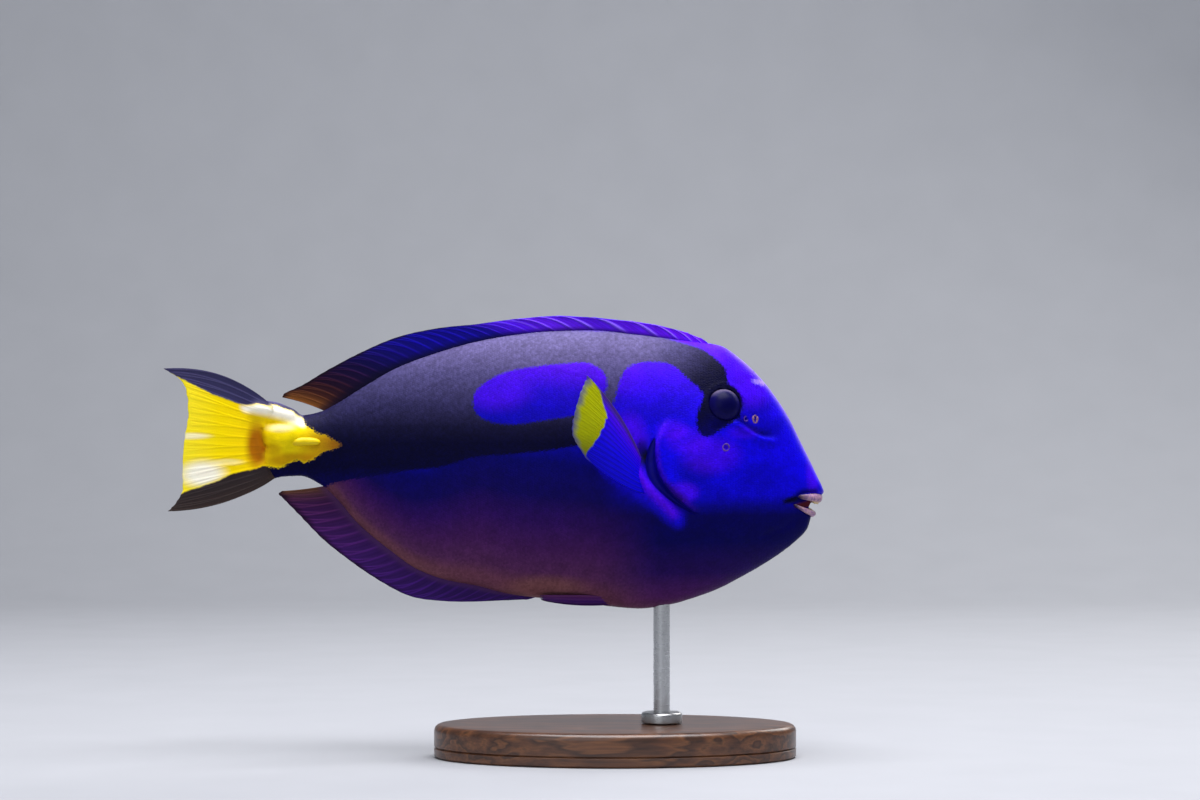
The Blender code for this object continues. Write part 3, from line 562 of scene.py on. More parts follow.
def finish(made, shown, height=None, strength=1.0, deep=0.1):
    # the colour that shows, and a bump of so many mm
    tree = made.node_tree
    shader = tree.nodes["Principled BSDF"]
    fill(tree, shader, {"Base Color": shown})
    if height is not None:
        inputs = {"Strength": strength, "Distance": deep * mm, "Height": height}
        fill(tree, shader, {"Normal": addNode(tree, "ShaderNodeBump", {}, inputs)})
    return made


skinLook = {
    # by height over the fish's axis: brown-purple low down, then deep blue, lighter violet towards the back;
    # partly the fish's own colour, partly painted light from above
    "front": [
        (0.0, "#6a3c56"), (0.06, "#4a205a"), (0.14, "#220a52"), (0.24, "#04024c"), (0.3, "#02014e"),
        (0.325, "#020150"), (0.357, "#040284"), (0.39, "#0902c4"), (0.45, "#0a02d0"), (0.62, "#1002d4"),
        (0.7, "#2002d2"), (0.77, "#3602da"), (0.84, "#4c0ae6"), (0.94, "#6a28f0"),
    ],
    # by height over the belly's line: brown-purple belly, dark navy, then blue and violet higher up; partly
    # the fish's own colour, partly painted light from above
    "rear": [
        (0.0, "#623848"), (0.05, "#60364a"), (0.1, "#4e2650"), (0.19, "#3e1852"), (0.28, "#2a0c54"),
        (0.38, "#0c0450"), (0.5, "#03025c"), (0.6, "#04029a"), (0.7, "#1002b2"), (0.76, "#1e02bc"),
        (0.84, "#4602d2"), (0.92, "#5a10e8"),
    ],
    # by height over the axis again, one step darker towards the eye: near black low down and grey-violet
    # towards the back, a painted sheen of the light from above
    "black": [
        (0.28, "#020144"), (0.4, "#030150"), (0.48, "#02022a"), (0.56, "#030326"), (0.61, "#100f30"),
        (0.68, "#2a274e"), (0.78, "#46416e"), (0.88, "#605888"), (0.97, "#726a9c"),
    ],
    # by length, to the tail fin's end: dark yellow-brown where the wedge begins, painted shade, then bright
    # yellow, lighter at the fin's end
    "yellow": [
        (0.06, "#4a3018"), (0.12, "#8a6a14"), (0.22, "#dcbc0c"), (0.36, "#f6dc06"), (0.5, "#f8d404"),
        (0.7, "#fbde02"), (0.88, "#fbe62a"), (1.0, "#f6ee80"),
    ],
}


# where those colours begin, in mm, and how far they run
runs = {"level": (-56, 112), "rise": (0, 100), "along": (170, 74)}


def runShare(values, name):
    start, length = runs[name]
    return (values - start) / length


def grain(tree, size, detail=2.0, stretch=(1, 1, 1)):
    # noise of a real size in mm, fixed to the piece
    where = addNode(tree, "ShaderNodeTexCoord", out="Object")
    where = addNode(tree, "ShaderNodeMapping", {}, {"Vector": where, "Scale": stretch})
    inputs = {"Vector": where, "Scale": 1 / (size * mm), "Detail": detail}
    return addNode(tree, "ShaderNodeTexNoise", {}, inputs)


def lay(tree, shown, *paints):
    # lays each paint over the last, as far as its share says
    for share, paint in paints:
        shown = addNode(tree, "ShaderNodeMix", mixed, {0: share, 6: shown, 7: paint}, out=2)
    return shown


def tinted(tree, shown, value, *limits):
    # darkens and lightens a colour by a value: its range, then the darkest and the lightest
    shade = addNode(tree, "ShaderNodeMapRange", softStep, dict(enumerate((value, *limits))))
    return addNode(tree, "ShaderNodeMix", multiplied, {0: 1.0, 6: shown, 7: shade}, out=2)


def twoTone(name, values, size, detail, colours, paints=(), stretch=(1, 1, 1)):
    # two close colours, mixed by noise of that size in mm
    made, tree = newMaterial(name, values)
    first, second = colours
    return finish(made, lay(tree, first, (grain(tree, size, detail, stretch), second), *paints))


def markShare(tree, name, jag, soft=0.5):
    # 1 inside a marking and 0 outside, its edge ragged by so many mm
    gap = addNode(tree, "ShaderNodeMath", timesPlus, {0: grain(tree, 1.4, 3.0), 1: 2 * jag, 2: name})
    return addNode(tree, "ShaderNodeMapRange", softStep, {0: gap, 1: jag - soft, 2: jag + soft})


def fishColour(tree, jag):
    # blue, then the black palette round its blue oval, then the yellow wedge
    shades = {}
    for name, value in (("front", "level"), ("rear", "rise"), ("black", "blackLevel"), ("yellow", "along")):
        shades[name] = addNode(tree, "ShaderNodeValToRGB", {}, {0: value}, stops=skinLook[name])
    # the black is blotched lighter and darker: painted wet highlights
    black = tinted(tree, shades["black"], grain(tree, 1.3, 5.0), 0.3, 0.7, 0.84, 1.18)
    # Over the blue lie the fish's own black, yellow and red-brown gum, with painted light and shade between
    # them: highlights where flesh stands up to the light, shade where it dips, and a lit rim down the
    # forehead beside a scuff.
    shown = lay(
        tree, shades["front"], ("behind", shades["rear"]), ("lobe", "#1203d6"), ("deep", "#05028c"),
        ("glow", "#5a0af4"), (markShare(tree, "palette", jag), black), ("slate", "#706c96"),
        ("shade", "#010122"), (markShare(tree, "yellow", 1.4 * jag, 0.4), shades["yellow"]),
        ("ochre", "#764c48"), ("rust", "#a04c04"), ("pale", "#fefae8"), ("rim", "#9c80ea"),
        ("gum", "#4a1622"),
    )
    return tinted(tree, shown, grain(tree, 5.0, 4.0), 0.25, 0.75, 0.88, 1.1)


slime = {"Roughness": 0.48, "IOR": 1.4, "Specular IOR Level": 0.07}


def makeSkinMaterial():
    # wet fish skin: a thin clear slime over pigment, so soft broad highlights
    made, tree = newMaterial("wet_fish_skin", slime)
    # wrinkles about 1.1 mm apart, as on the head, with finer grain between
    inputs = {0: grain(tree, 1.1, 2.0, (0.35, 0.5, 1.3)), 1: 0.7, 2: grain(tree, 0.5)}
    return finish(made, fishColour(tree, 0.5), addNode(tree, "ShaderNodeMath", timesPlus, inputs), 0.5, 0.25)


def makeScaleMaterial():
    # small rough-edged scales under slime; each one is tinted a little apart from its neighbours
    made, tree = newMaterial("rough_scales", slime)
    return finish(made, tinted(tree, fishColour(tree, 0.25), "tint", 0.0, 1.0, 0.88, 1.12))


def makeLining(name, inner, outer, roughness):
    # moist inner skin, blotched in two tones, with a soft shine
    values = {"Roughness": roughness, "IOR": 1.38, "Specular IOR Level": 0.2}
    return twoTone(name, values, 1.6, 3.0, (inner, outer))


scaleSkin = makeSkinMaterial()
scaleCoat = makeScaleMaterial()
mouthLining = makeLining("moist_mouth_lining", "#2a0c16", "#7a3030", 0.35)
gillLining = makeLining("dark_gill_lining", "#04016c", "#060292", 0.6)
print("skin materials made")


def skinGrid():
    # the skin's points ring by ring, closer together where it has more detail
    stations = [0.0]
    while stations[-1] < fish["bodyLength"]:
        stations.append(stations[-1] + float(through(skin["spacing"], stations[-1])))
    stations = np.array(stations) * fish["bodyLength"] / stations[-1]
    s, angle = np.meshgrid(stations, circle(skin["around"]), indexing="ij")
    y, h = section(s, angle)
    plain = place(s, y, h)
    across = np.roll(plain, -1, axis=1) - np.roll(plain, 1, axis=1)
    normal = unit(np.cross(across, np.gradient(plain, axis=0)))
    up = relief(s.ravel(), h.ravel(), y.ravel()).reshape(s.shape)
    points = plain + normal * up[..., None]
    return {"stations": stations, "s": s, "y": y, "h": h, "normal": normal, "points": points}


def markValues(s, y, h):
    # what the materials read, for points given in the fish's measures
    spots = toPhoto(s, y, h)
    level = runShare(h, "level")
    values = {"level": level, "along": runShare(s, "along"), "behind": smooth((s - 58) / 26)}
    values["rise"] = runShare(h - through(belly, s), "rise") * (1 + 0.8 * smooth((s - 120) / 50))
    values["blackLevel"] = level - 0.22 * (1 - smooth((s - 34) / 34))
    values |= {name: laid(spots, name) for name in ("glow", "deep", "shade", "slate", "ochre")}
    values["shade"] += 0.5 * np.exp(-((np.maximum(eyeGap(s, h), 0) / 0.4) ** 2))
    # a lighter line runs down the forehead, a painted rim of light along its edge, with a scuff beside it
    line = foreheadLine
    upTo = smooth((line["endsAt"] - s) / line["fade"])
    values["rim"] = line["share"] * np.exp(-((y / line["half"]) ** 2)) * upTo
    away = (spots - scuff["at"]) @ np.array(scuff["turn"]) / scuff["half"]
    rub = (y <= 0) * scuff["share"] * smooth(1.6 - np.hypot(*away.T))
    values["rim"] = values["rim"] * (h > line["lowest"]) + rub
    # bare red-brown skin between the lips
    between = np.abs(h + 14.8 + 0.16 * s) - (1.9 - 0.12 * s)
    values["gum"] = smooth(0.5 - between / 0.6) * smooth((11.5 - s) / 1.5)
    # the fleshy root of the side fin, brighter blue: its own blue with painted light where it stands up from
    # the body
    values["lobe"] = smooth(inside(spots, marks["lobe"]) / 5 + 0.45)
    values |= tailPaints(spots)
    for name in ("slate", "rust", "pale"):  # only the side that the tail bends to
        values[name] = values[name] * (y <= 0)
    values = {name: np.clip(value, 0, 1) for name, value in values.items()}
    values["palette"] = np.minimum(inside(spots, marks["black"]), -inside(spots, marks["oval"]))
    return values | {"yellow": inside(spots, marks["yellow"])}


def eyeball(name, side, grow=0.0, material=None, steps=40, around=64):
    # a flattened ball set in the skin, looking the way that the skin faces
    s, h = eye["at"]
    reach = 0.5
    spots = [(s + reach, h), (s - reach, h), (s, h + reach), (s, h - reach)]
    rear, front, above, below = (place(a, side * float(skinY(a, b)), b) for a, b in spots)
    out = unit(np.cross(rear - front, above - below))
    out *= np.sign(out[1] * side)
    centre = place(s, side * float(skinY(s, h)), h) - out * eye["sink"]
    up = unit(np.array([0, 0, 1]) - out * out[2])
    across = np.cross(up, out)
    p, q = np.meshgrid(np.linspace(0, math.pi, steps)[1:-1], circle(around), indexing="ij")
    wide, deep = eye["radius"] + grow, eye["bulge"] + grow
    high, spread = np.sin(p) * np.cos(q), wide * np.sin(p)
    ball = centre + out * (deep * np.cos(p))[..., None] + up * (wide * high)[..., None]
    ball += across * (spread * np.sin(q))[..., None]
    points = np.vstack([ball.reshape(-1, 3), centre + out * deep, centre - out * deep])
    tip, last = p.size, p.size - around
    faces = ringFaces(len(p), around) + [[tip, (k + 1) % around, k] for k in range(around)]
    faces += [[tip + 1, last + k, last + (k + 1) % around] for k in range(around)]
    made = newObject(name, points, faces, material)
    if material:
        high, spread = np.append(high, [0, 0]), np.append(spread, [0, 0])
        behind = np.append(p > math.pi / 2, [False, True])
        setValues(made, "radius", np.where(behind, 1, spread / 8))
        # a lighter arc over the top of the eye: a painted highlight of the light from above
        setValues(made, "crescent", 0.85 * smooth((high - 0.35) / 0.5) * smooth((spread - 3.9) / 1.3))
    return made


def mouthGape(name, steps=30, around=24):
    rows = skin["gape"]
    s = np.linspace(rows[0][0], rows[-1][0], steps)
    wide, roof, floor = (through([(row[0], row[k]) for row in rows], s)[:, None] for k in (1, 2, 3))
    across, up = np.cos(circle(around)), np.sin(circle(around))
    square = np.maximum(np.abs(across), np.abs(up)) ** 0.5
    h = (roof + floor) / 2 + up / square * (roof - floor) / 2
    y = across / square * wide
    return capped(name, place(np.broadcast_to(s[:, None], y.shape), y, h), mouthLining)


def gillSlit(name, side, steps=40, around=16):
    t = np.linspace(0, 1, steps)
    s, h = along(skin["slit"], t).T
    fat = np.maximum(np.sin(math.pi * t) ** 0.6, 0.12)[:, None]
    rear = skin["slitWidth"] / 2 * fat * (1 + np.cos(circle(around)))
    y = side * (skinY(s, h)[:, None] + 0.4 + skin["slitDepth"] * fat * np.sin(circle(around)))
    return capped(name, place(s[:, None] + rear, y, h[:, None] + 0 * rear), gillLining)


spine = {"at": (189.6, 6.7), "half": (5.8, 1.7, 1.9), "sink": 0.35}


def tailSpine(name, side, material, steps=44, around=24):
    # the folding spine: a blunt finger along the stalk, its free end forward and its root in the skin
    s, h = spine["at"]
    length, tall, thick = spine["half"]
    t = np.linspace(-1, 1, steps)
    fat = np.maximum((1 - t**4) ** 0.5, 0.05) * (0.92 + 0.12 * t)
    here = s + t * length
    turn = circle(around)
    fold = 0.9 * smooth((t + 0.2) / 1.2) * (side < 0)
    deep = (skinY(here, h) - spine["sink"] + fold)[:, None] + np.cos(turn) * thick * fat[:, None]
    up = h + 0.3 * (1 - t * t)[:, None] + np.sin(turn) * tall * fat[:, None]
    return capped(name, place(here[:, None] + 0 * deep, side * deep, up), material)


def lipLine(sizes, t):
    # s, y and h of the lip's middle, and its thickness, which ends in a blunt tip
    reach = np.abs(t)[:, None] ** lipBluntness
    spot = np.array(sizes["front"]) * (1 - reach) + np.array(sizes["corner"]) * reach
    y = float(skinY(*sizes["corner"])) * np.sin(t * math.pi / 2)
    tip = np.maximum(1 - np.maximum((np.abs(t) - 0.88) / 0.12, 0) ** 2.5, 0.1)
    return spot[:, 0], y, spot[:, 1], (1 - lipTaper * reach[:, 0]) * tip


def lipRings(sizes, grow=0.0, steps=141, around=40, wrinkle=0.0):
    t = np.linspace(-1, 1, steps)
    s, y, h, fade = lipLine(sizes, t)
    run = unit(np.stack([np.gradient(s), np.gradient(y)], axis=1))
    out = np.stack([-run[:, 1], run[:, 0]], axis=1)
    out *= np.where(y * 0.4 * out[:, 1] < out[:, 0], -1, 1)[:, None]
    turn = circle(around)
    ripple = 1 + wrinkle * np.sin(t * 74)[:, None] * np.abs(np.sin(turn))
    ripple = ripple + wrinkle * 0.6 * np.sin(t * 131 + 1)[:, None]
    away = (sizes["depth"] * fade + grow)[:, None] * np.cos(turn) * ripple
    rise = (sizes["height"] * fade + grow)[:, None] * np.sin(turn) * ripple
    rings = place(s[:, None] + out[:, :1] * away, y[:, None] + out[:, 1:] * away, h[:, None] + rise)
    return rings, t[:, None] + 0 * away, away / sizes["depth"], rise / sizes["height"]


def cutSkin(made, cutters):
    for cutter in cutters:
        step = made.modifiers.new("cut", "BOOLEAN")
        step.operation = "DIFFERENCE"
        step.solver = "MANIFOLD"
        step.object = cutter
        cutter.hide_render = True
        cutter.display_type = "WIRE"
    settle(made)
    for cutter in cutters:
        bpy.data.objects.remove(cutter)


def makeSkin():
    grid = skinGrid()
    rings, around = grid["s"].shape
    faces = ringFaces(rings, around)
    half = around // 2
    for start in (0, (rings - 1) * around):
        faces.append([start, start + 1, start + around - 1])
        faces.append([start + half, start + half + 1, start + half - 1])
        for k in range(1, half - 1):
            faces.append([start + k, start + k + 1, start + around - k - 1, start + around - k])
    points = grid["points"].reshape(-1, 3)
    made = newObject("fish_skin", points, faces, scaleSkin)
    cutters = [mouthGape("gape")]
    for name, sizes in lips.items():
        cutters.append(capped(name + "_seat", lipRings(sizes, skin["seatGap"])[0], mouthLining))
    for side in (-1, 1):
        cutters += [eyeball("socket", side, skin["seatGap"]), gillSlit("slit", side)]
    whole = BVHTree.FromObject(made, bpy.context.evaluated_depsgraph_get())
    cutSkin(made, cutters)
    mesh = made.data
    mesh.materials.clear()
    for material in (scaleSkin, mouthLining, gillLining):
        mesh.materials.append(material)
    # marks come from the nearest point of the whole skin, so that the cuts' edges have them too
    plain = KDTree(len(points))
    for k, point in enumerate(points * mm):
        plain.insert(point, k)
    plain.balance()
    nearest = [plain.find(vertex.co)[1] for vertex in mesh.vertices]
    for name, values in markValues(*(grid[key].ravel() for key in ("s", "y", "h"))).items():
        setValues(made, name, values[nearest])
    # each cut shows its own lining
    for face in mesh.polygons:
        cut = whole.find_nearest(face.center)[3] > skin["cutFrom"] * mm
        inMouth = face.center.x / mm > fish["snoutAhead"] - skin["mouthEnds"]
        face.material_index = (1 if inMouth else 2) if cut else 0
    wear(made, "skin", "head", "trunk", "tail_stalk", "gill_cover_right", "gill_cover_left")
    return made, grid


fishSkin, grid = makeSkin()
print("skin:", len(fishSkin.data.polygons), "faces")


def sampleGrid(grid, name, s, angle):
    # a value of the skin's grid between its points, read at s and the section's angle
    values = grid[name]
    rings, around = grid["s"].shape
    i = np.interp(s, grid["stations"], np.arange(rings))
    k = np.mod(angle, 2 * math.pi) / (2 * math.pi) * around
    i0 = np.minimum(i.astype(int), rings - 2)
    k0 = k.astype(int) % around
    f, g = (i - i0), (k - k.astype(int))
    if values.ndim == 3:
        f, g = f[:, None], g[:, None]
    k1 = (k0 + 1) % around
    low = values[i0, k0] * (1 - g) + values[i0, k1] * g
    high = values[i0 + 1, k0] * (1 - g) + values[i0 + 1, k1] * g
    return low * (1 - f) + high * f


def platesTree():
    # one small plate on every root: Axes to Rotation stands it on the skin, its edge to the rear
    tree = bpy.data.node_groups.new("plates_on_roots", "GeometryNodeTree")
    kinds = {"Geometry": "Geometry", "Plate": "Object", "Finish": "Material", "Size Spread": "Float",
             "Turn Spread": "Float", "Seed": "Int", "Patch Size": "Float"}
    for name, kind in kinds.items():
        tree.interface.new_socket(name, in_out="INPUT", socket_type="NodeSocket" + kind)
    tree.interface.new_socket("Geometry", in_out="OUTPUT", socket_type="NodeSocketGeometry")
    given = tree.nodes.new("NodeGroupInput").outputs
    vector, scaled = {"data_type": "FLOAT_VECTOR"}, {"operation": "SCALE"}
    read = {name: addNode(tree, "GeometryNodeInputNamedAttribute", vector, {"Name": name}, out="Attribute")
            for name in ("outward", "rearward", "size", "patch", "rootMap")}

    def drawn(shift, low=0.0, high=1.0):
        # a random number for each root, its seed shifted
        seed = addNode(tree, "ShaderNodeMath", {}, {0: given["Seed"], 1: shift})
        inputs = {2: low, 3: high, "Seed": seed}
        return addNode(tree, "FunctionNodeRandomValue", {"data_type": "FLOAT"}, inputs, out=1)

    ends = []
    for spread, middle in (("Turn Spread", 0.0), ("Size Spread", 1.0)):
        low, high = (addNode(tree, "ShaderNodeMath", {"operation": kind}, {0: middle, 1: given[spread]})
                     for kind in ("SUBTRACT", "ADD"))
        ends.append(drawn(middle, low, high))
    facing = {"Primary Axis": read["outward"], "Secondary Axis": read["rearward"]}
    turned = addNode(tree, "FunctionNodeAxesToRotation", {"primary_axis": "Z", "secondary_axis": "X"}, facing)
    twist = addNode(tree, "ShaderNodeCombineXYZ", {}, {2: ends[0]})
    twist = addNode(tree, "FunctionNodeEulerToRotation", {}, {0: twist})
    turned = addNode(tree, "FunctionNodeRotateRotation", {"rotation_space": "LOCAL"}, {0: turned, 1: twist})
    size = addNode(tree, "ShaderNodeVectorMath", scaled, {0: read["size"], 3: ends[1]})
    plate = addNode(tree, "GeometryNodeObjectInfo", {}, {0: given["Plate"]}, out="Geometry")
    inputs = {"Points": given["Geometry"], "Instance": plate, "Rotation": turned, "Scale": size}
    grown = addNode(tree, "GeometryNodeInstanceOnPoints", {}, inputs)
    inputs = {0: grown, "Name": "tint", "Value": drawn(2.0)}
    store = {"data_type": "FLOAT", "domain": "INSTANCE"}
    grown = addNode(tree, "GeometryNodeStoreNamedAttribute", store, inputs)
    # each plate keeps a small patch of its own in the map, at its root's place
    patch = addNode(tree, "ShaderNodeVectorMath", scaled, {0: read["patch"], 3: given["Patch Size"]})
    patch = addNode(tree, "ShaderNodeVectorMath", {}, {0: patch, 1: read["rootMap"]})
    grown = addNode(tree, "GeometryNodeRealizeInstances", {}, {0: grown})
    inputs = {0: grown, "Name": "OFBake", "Value": patch}
    store = {"data_type": "FLOAT2", "domain": "CORNER"}
    solid = addNode(tree, "GeometryNodeStoreNamedAttribute", store, inputs)
    solid = addNode(tree, "GeometryNodeSetMaterial", {}, {"Geometry": solid, "Material": given["Finish"]})
    addNode(tree, "NodeGroupOutput", {}, {0: solid})
    return tree


plates = platesTree()


def growPlates(name, roots, marks, plate, material, sizes, slot):
    # roots: points in mm with outward, rearward, size and rootMap; grows one plain mesh of plates on them
    made = newObject(name, roots["points"], [])
    for key, values in (roots | marks).items():
        if key != "points":
            setValues(made, key, values)
    step = made.modifiers.new("plates", "NODES")
    sockets = {item.name: item.identifier for item in plates.interface.items_tree if item.in_out == "INPUT"}
    step.node_group = plates
    given = {"Plate": plate, "Finish": material, "Seed": sizes["seed"], "Patch Size": sizes["patchSize"]}
    given |= {"Size Spread": sizes["sizeSpread"], "Turn Spread": sizes["turnSpread"]}
    for key, value in given.items():
        step[sockets[key]] = value
    settle(made)
    for key in (*roots, "patch"):
        if key in made.data.attributes:
            made.data.attributes.remove(made.data.attributes[key])
    made.data.shade_flat()
    print(name, len(roots["points"]), "plates,", len(made.data.polygons), "faces")
    wear(made, slot)


coat = {
    # the real scales are 0.4 to 0.8 mm apart; drawn at the coarser end of that, so that they show
    "body": {
        "row": 0.84, "column": 0.86, "long": 1.5, "wide": 1.12, "thick": 0.75, "stagger": 0.5, "wave": 0.0,
    },
    # on the head they run together into fine wavy ridges, about 0.7 mm apart
    "head": {
        "row": 0.66, "column": 0.96, "long": 1.8, "wide": 0.8, "thick": 0.95, "stagger": 0.0, "wave": 0.3,
    },
    # each piece of the coat, from s to s
    "parts": {"head": (3.0, 58.0), "shoulder": (58.0, 88.0), "flank": (88.0, 122.0), "rear": (122.0, 206.0)},
    "step": 0.35,  # mm to each side, for reading the way that the skin faces
    "sizeSpread": 0.16,
    "turnSpread": 0.16,
    "seed": 31,
    "patchSize": 0.003,
}


def newPlate(plate, patch):
    # keeps the plate's own patch of the map, and the plate out of the picture
    setValues(plate, "patch", np.column_stack([*patch, 0 * patch[0]]))
    plate.hide_render = True
    plate.display_type = "WIRE"
    return plate


def scalePlate():
    # a closed lens of 14 triangles, 1 mm long: its root sunk in the skin, its rear edge clear of it
    rim = [(-0.4, 0, -0.08), (-0.2, 0.4, -0.06), (0.24, 0.5, 0.0), (0.55, 0.24, 0.045), (0.55, -0.24, 0.045),
           (0.24, -0.5, 0.0), (-0.2, -0.4, -0.06)]
    points = np.array([*rim, (0.3, 0, 0.07), (0.1, 0, -0.14)])
    count = len(rim)
    faces = [[k, (k + 1) % count, count] for k in range(count)]
    faces += [[(k + 1) % count, k, count + 1] for k in range(count)]
    return newPlate(newObject("scale_plate", points, faces), points.T[:2])


# nostrils and the ring pit below the eye: centre and half sizes in the photo's pixels, and how pink each is
rims = ((755.5, 419, 2.1, 3.8, 0.9), (746.5, 418.5, 2.0, 2.4, 0.3), (726, 447.3, 3.2, 3.4, 0.45))


def clearOf(s, y, h):
    # True where scales may stand: off the eyes, lips, mouth, slits, spines, nostrils and stalk's bare skin
    spots = toPhoto(s, y, h)
    free = (eyeGap(s, h) > 0.5) & (inside(spots, marks["yellow"]) < 0.1)
    for sizes in lips.values():
        ls, _, lh, fade = lipLine(sizes, np.linspace(0, 1, 30))
        free &= np.min(np.hypot(s[:, None] - ls, h[:, None] - lh) - sizes["height"] * fade, axis=1) > 0.9
    free &= ~((s < 13) & (h < -14) & (h > -21.5) & (s < 13 - (np.abs(h + 16.5) - 1.5) * 2))
    slit = along(skin["slit"], np.linspace(0, 1, 60))
    half = skin["slitWidth"] / 2
    offset = np.hypot((s[:, None] - slit[:, 0] - half) / (half + 0.45), (h[:, None] - slit[:, 1]) / 0.9)
    free &= offset.min(axis=1) > 1
    at, (length, tall, _) = spine["at"], spine["half"]
    free &= np.hypot((s - at[0]) / (length + 0.2), (h - at[1] - 0.2) / (tall + 0.2)) > 1
    for px, py, wide, tall, _ in rims:
        free &= np.hypot(*((spots - (px, py)) / (wide + 1, tall + 1)).T) > 1
    return free & (s > 3.2) & (s < fish["bodyLength"] - 0.8)


def scaleRoots(sizes, fromS, toS):
    # rows run along the body, a pitch apart from the middle of each side, every other column half a row off
    pitch = sizes["row"]
    dense = np.linspace(0, math.pi, 400)
    roots = []
    for n, s in enumerate(np.arange(fromS, toS, sizes["column"])):
        y, h = section(np.full_like(dense, s), dense)
        lengths = np.concatenate([[0], np.cumsum(np.hypot(np.diff(y), np.diff(h)))])
        middle = lengths[len(dense) // 2]
        offset = sizes["stagger"] * (n % 2)
        low = math.ceil((0.5 - middle) / pitch - offset)
        high = math.floor((lengths[-1] - 0.5 - middle) / pitch - offset)
        reach = middle + (np.arange(low, high + 1) + offset) * pitch
        reach = reach + sizes["wave"] * np.sin(s * 0.9 + reach * 0.22)
        angle = np.interp(reach, lengths, dense)
        roots += [(s, a) for a in angle] + [(s, 2 * math.pi - a) for a in angle]
    roots = np.array(roots)
    rng = np.random.default_rng(coat["seed"] + int(fromS))
    roots[:, 0] += rng.uniform(-0.3, 0.3, len(roots)) * pitch
    roots[:, 1] += rng.uniform(-0.004, 0.004, len(roots))
    return roots


def makeCoat(name, sizes, fromS, toS, plate):
    s, angle = scaleRoots(sizes, fromS, toS).T
    y, h = section(s, angle)
    free = clearOf(s, y, h)
    s, angle, y, h = s[free], angle[free], y[free], h[free]
    step = coat["step"]
    turn = step / np.hypot(y, 20)
    rear = sampleGrid(grid, "points", s + step, angle) - sampleGrid(grid, "points", s - step, angle)
    up = sampleGrid(grid, "points", s, angle + turn) - sampleGrid(grid, "points", s, angle - turn)
    outward = unit(np.cross(up, rear))
    outward *= np.where((outward * sampleGrid(grid, "normal", s, angle)).sum(axis=1) < 0, -1, 1)[:, None]
    fine = 1 - 0.35 * smooth((20 - s) / 16)
    # towards the fin they are sunk almost flush
    flush = fine * (1 - 0.8 * smooth((s - 192) / 12))
    at = s / fish["bodyLength"]
    roots = {
        "points": sampleGrid(grid, "points", s, angle),
        "outward": outward,
        "rearward": rear,
        "size": np.stack([sizes["long"] * fine, sizes["wide"] * fine, sizes["thick"] * flush], axis=1),
        "rootMap": np.stack([0.01 + 0.98 * at, 0.03 + 0.48 * angle / math.pi, 0 * s], axis=1),
    }
    growPlates(name, roots, markValues(s, y, h), plate, scaleCoat, coat, "skin")


def makeCoats():
    plate = scalePlate()
    for part, (fromS, toS) in coat["parts"].items():
        makeCoat("scales_" + part, coat["head" if part == "head" else "body"], fromS, toS, plate)
    bpy.data.objects.remove(plate)


makeCoats()
print("scales grown")


# Each fin's colours along its run (0 at the front or top, 1 at the rear or bottom): the web's and the rays',
# the paints laid over them, and a marking with its own colours.
finLooks = {
    "dorsal": {
        "web": [
            (0.0, "#7018f8"), (0.12, "#6414f0"), (0.25, "#5014d8"), (0.35, "#6420f0"), (0.42, "#4c10e4"),
            (0.49, "#0e0684"), (0.62, "#08047c"), (0.78, "#0a0438"), (0.88, "#1c0a22"), (0.94, "#3a1c18"),
            (1.0, "#784820"),
        ],
        "rays": [
            (0.0, "#9874f8"), (0.25, "#a080fa"), (0.38, "#9464fa"), (0.46, "#4c20f0"), (0.53, "#1c0cd8"),
            (0.64, "#180ad0"), (0.76, "#240c58"), (0.88, "#4a2028"), (1.0, "#8e5628"),
        ],
        # near black at the fin's foot: painted shade in the groove along the back; the dark edge is the fin's
        # own
        "paints": {"foot": "#060420", "edge": "#120814"},
    },
    "anal": {
        "web": [(0.0, "#2a1050"), (0.3, "#2a1054"), (0.6, "#341458"), (0.85, "#321240"), (1.0, "#5e3c28")],
        "rays": [(0.0, "#42187a"), (0.4, "#4c1c8a"), (0.75, "#5c2470"), (0.92, "#5e2c48"), (1.0, "#84583a")],
        "paints": {"foot": "#52305e", "edge": "#16051c"},
    },
    "tail": {
        "web": [(0.0, "#2f2d4e"), (0.25, "#3a375e"), (0.7, "#282226"), (1.0, "#342a28")],
        "rays": [(0.0, "#6a6494"), (0.3, "#5e5a88"), (0.7, "#3c3438"), (1.0, "#504642")],
        # painted shade in the tail's folds, and whitish painted highlights on them and on the fin
        "paints": {"rust": "#a04c04", "pale": "#fefae8"},
        "mark": "yellow",
        "markColours": skinLook["yellow"],
    },
    "wing": {
        "web": [
            (0.0, "#4a3080"), (0.06, "#4418a8"), (0.12, "#5004ff"), (0.3, "#2c02fa"), (0.6, "#1003f0"),
            (1.0, "#0a02d0"),
        ],
        "rays": [(0.0, "#7458a8"), (0.08, "#4a2cc0"), (0.18, "#1c04b4"), (1.0, "#060290")],
        "paints": {"foot": "#1a03dc", "edge": "#4c4a8c"},
        "mark": "wing",
        "markColours": [(0.0, "#4c4e20"), (0.35, "#767a14"), (0.7, "#a8ae02"), (1.0, "#b4ba04")],
    },
    "belly": {
        "web": [(0.0, "#280e42"), (0.5, "#3c1860"), (1.0, "#502458")],
        "rays": [(0.0, "#46206c"), (1.0, "#64386a")],
        "paints": {"foot": "#4c2444", "edge": "#260e34"},
    },
}


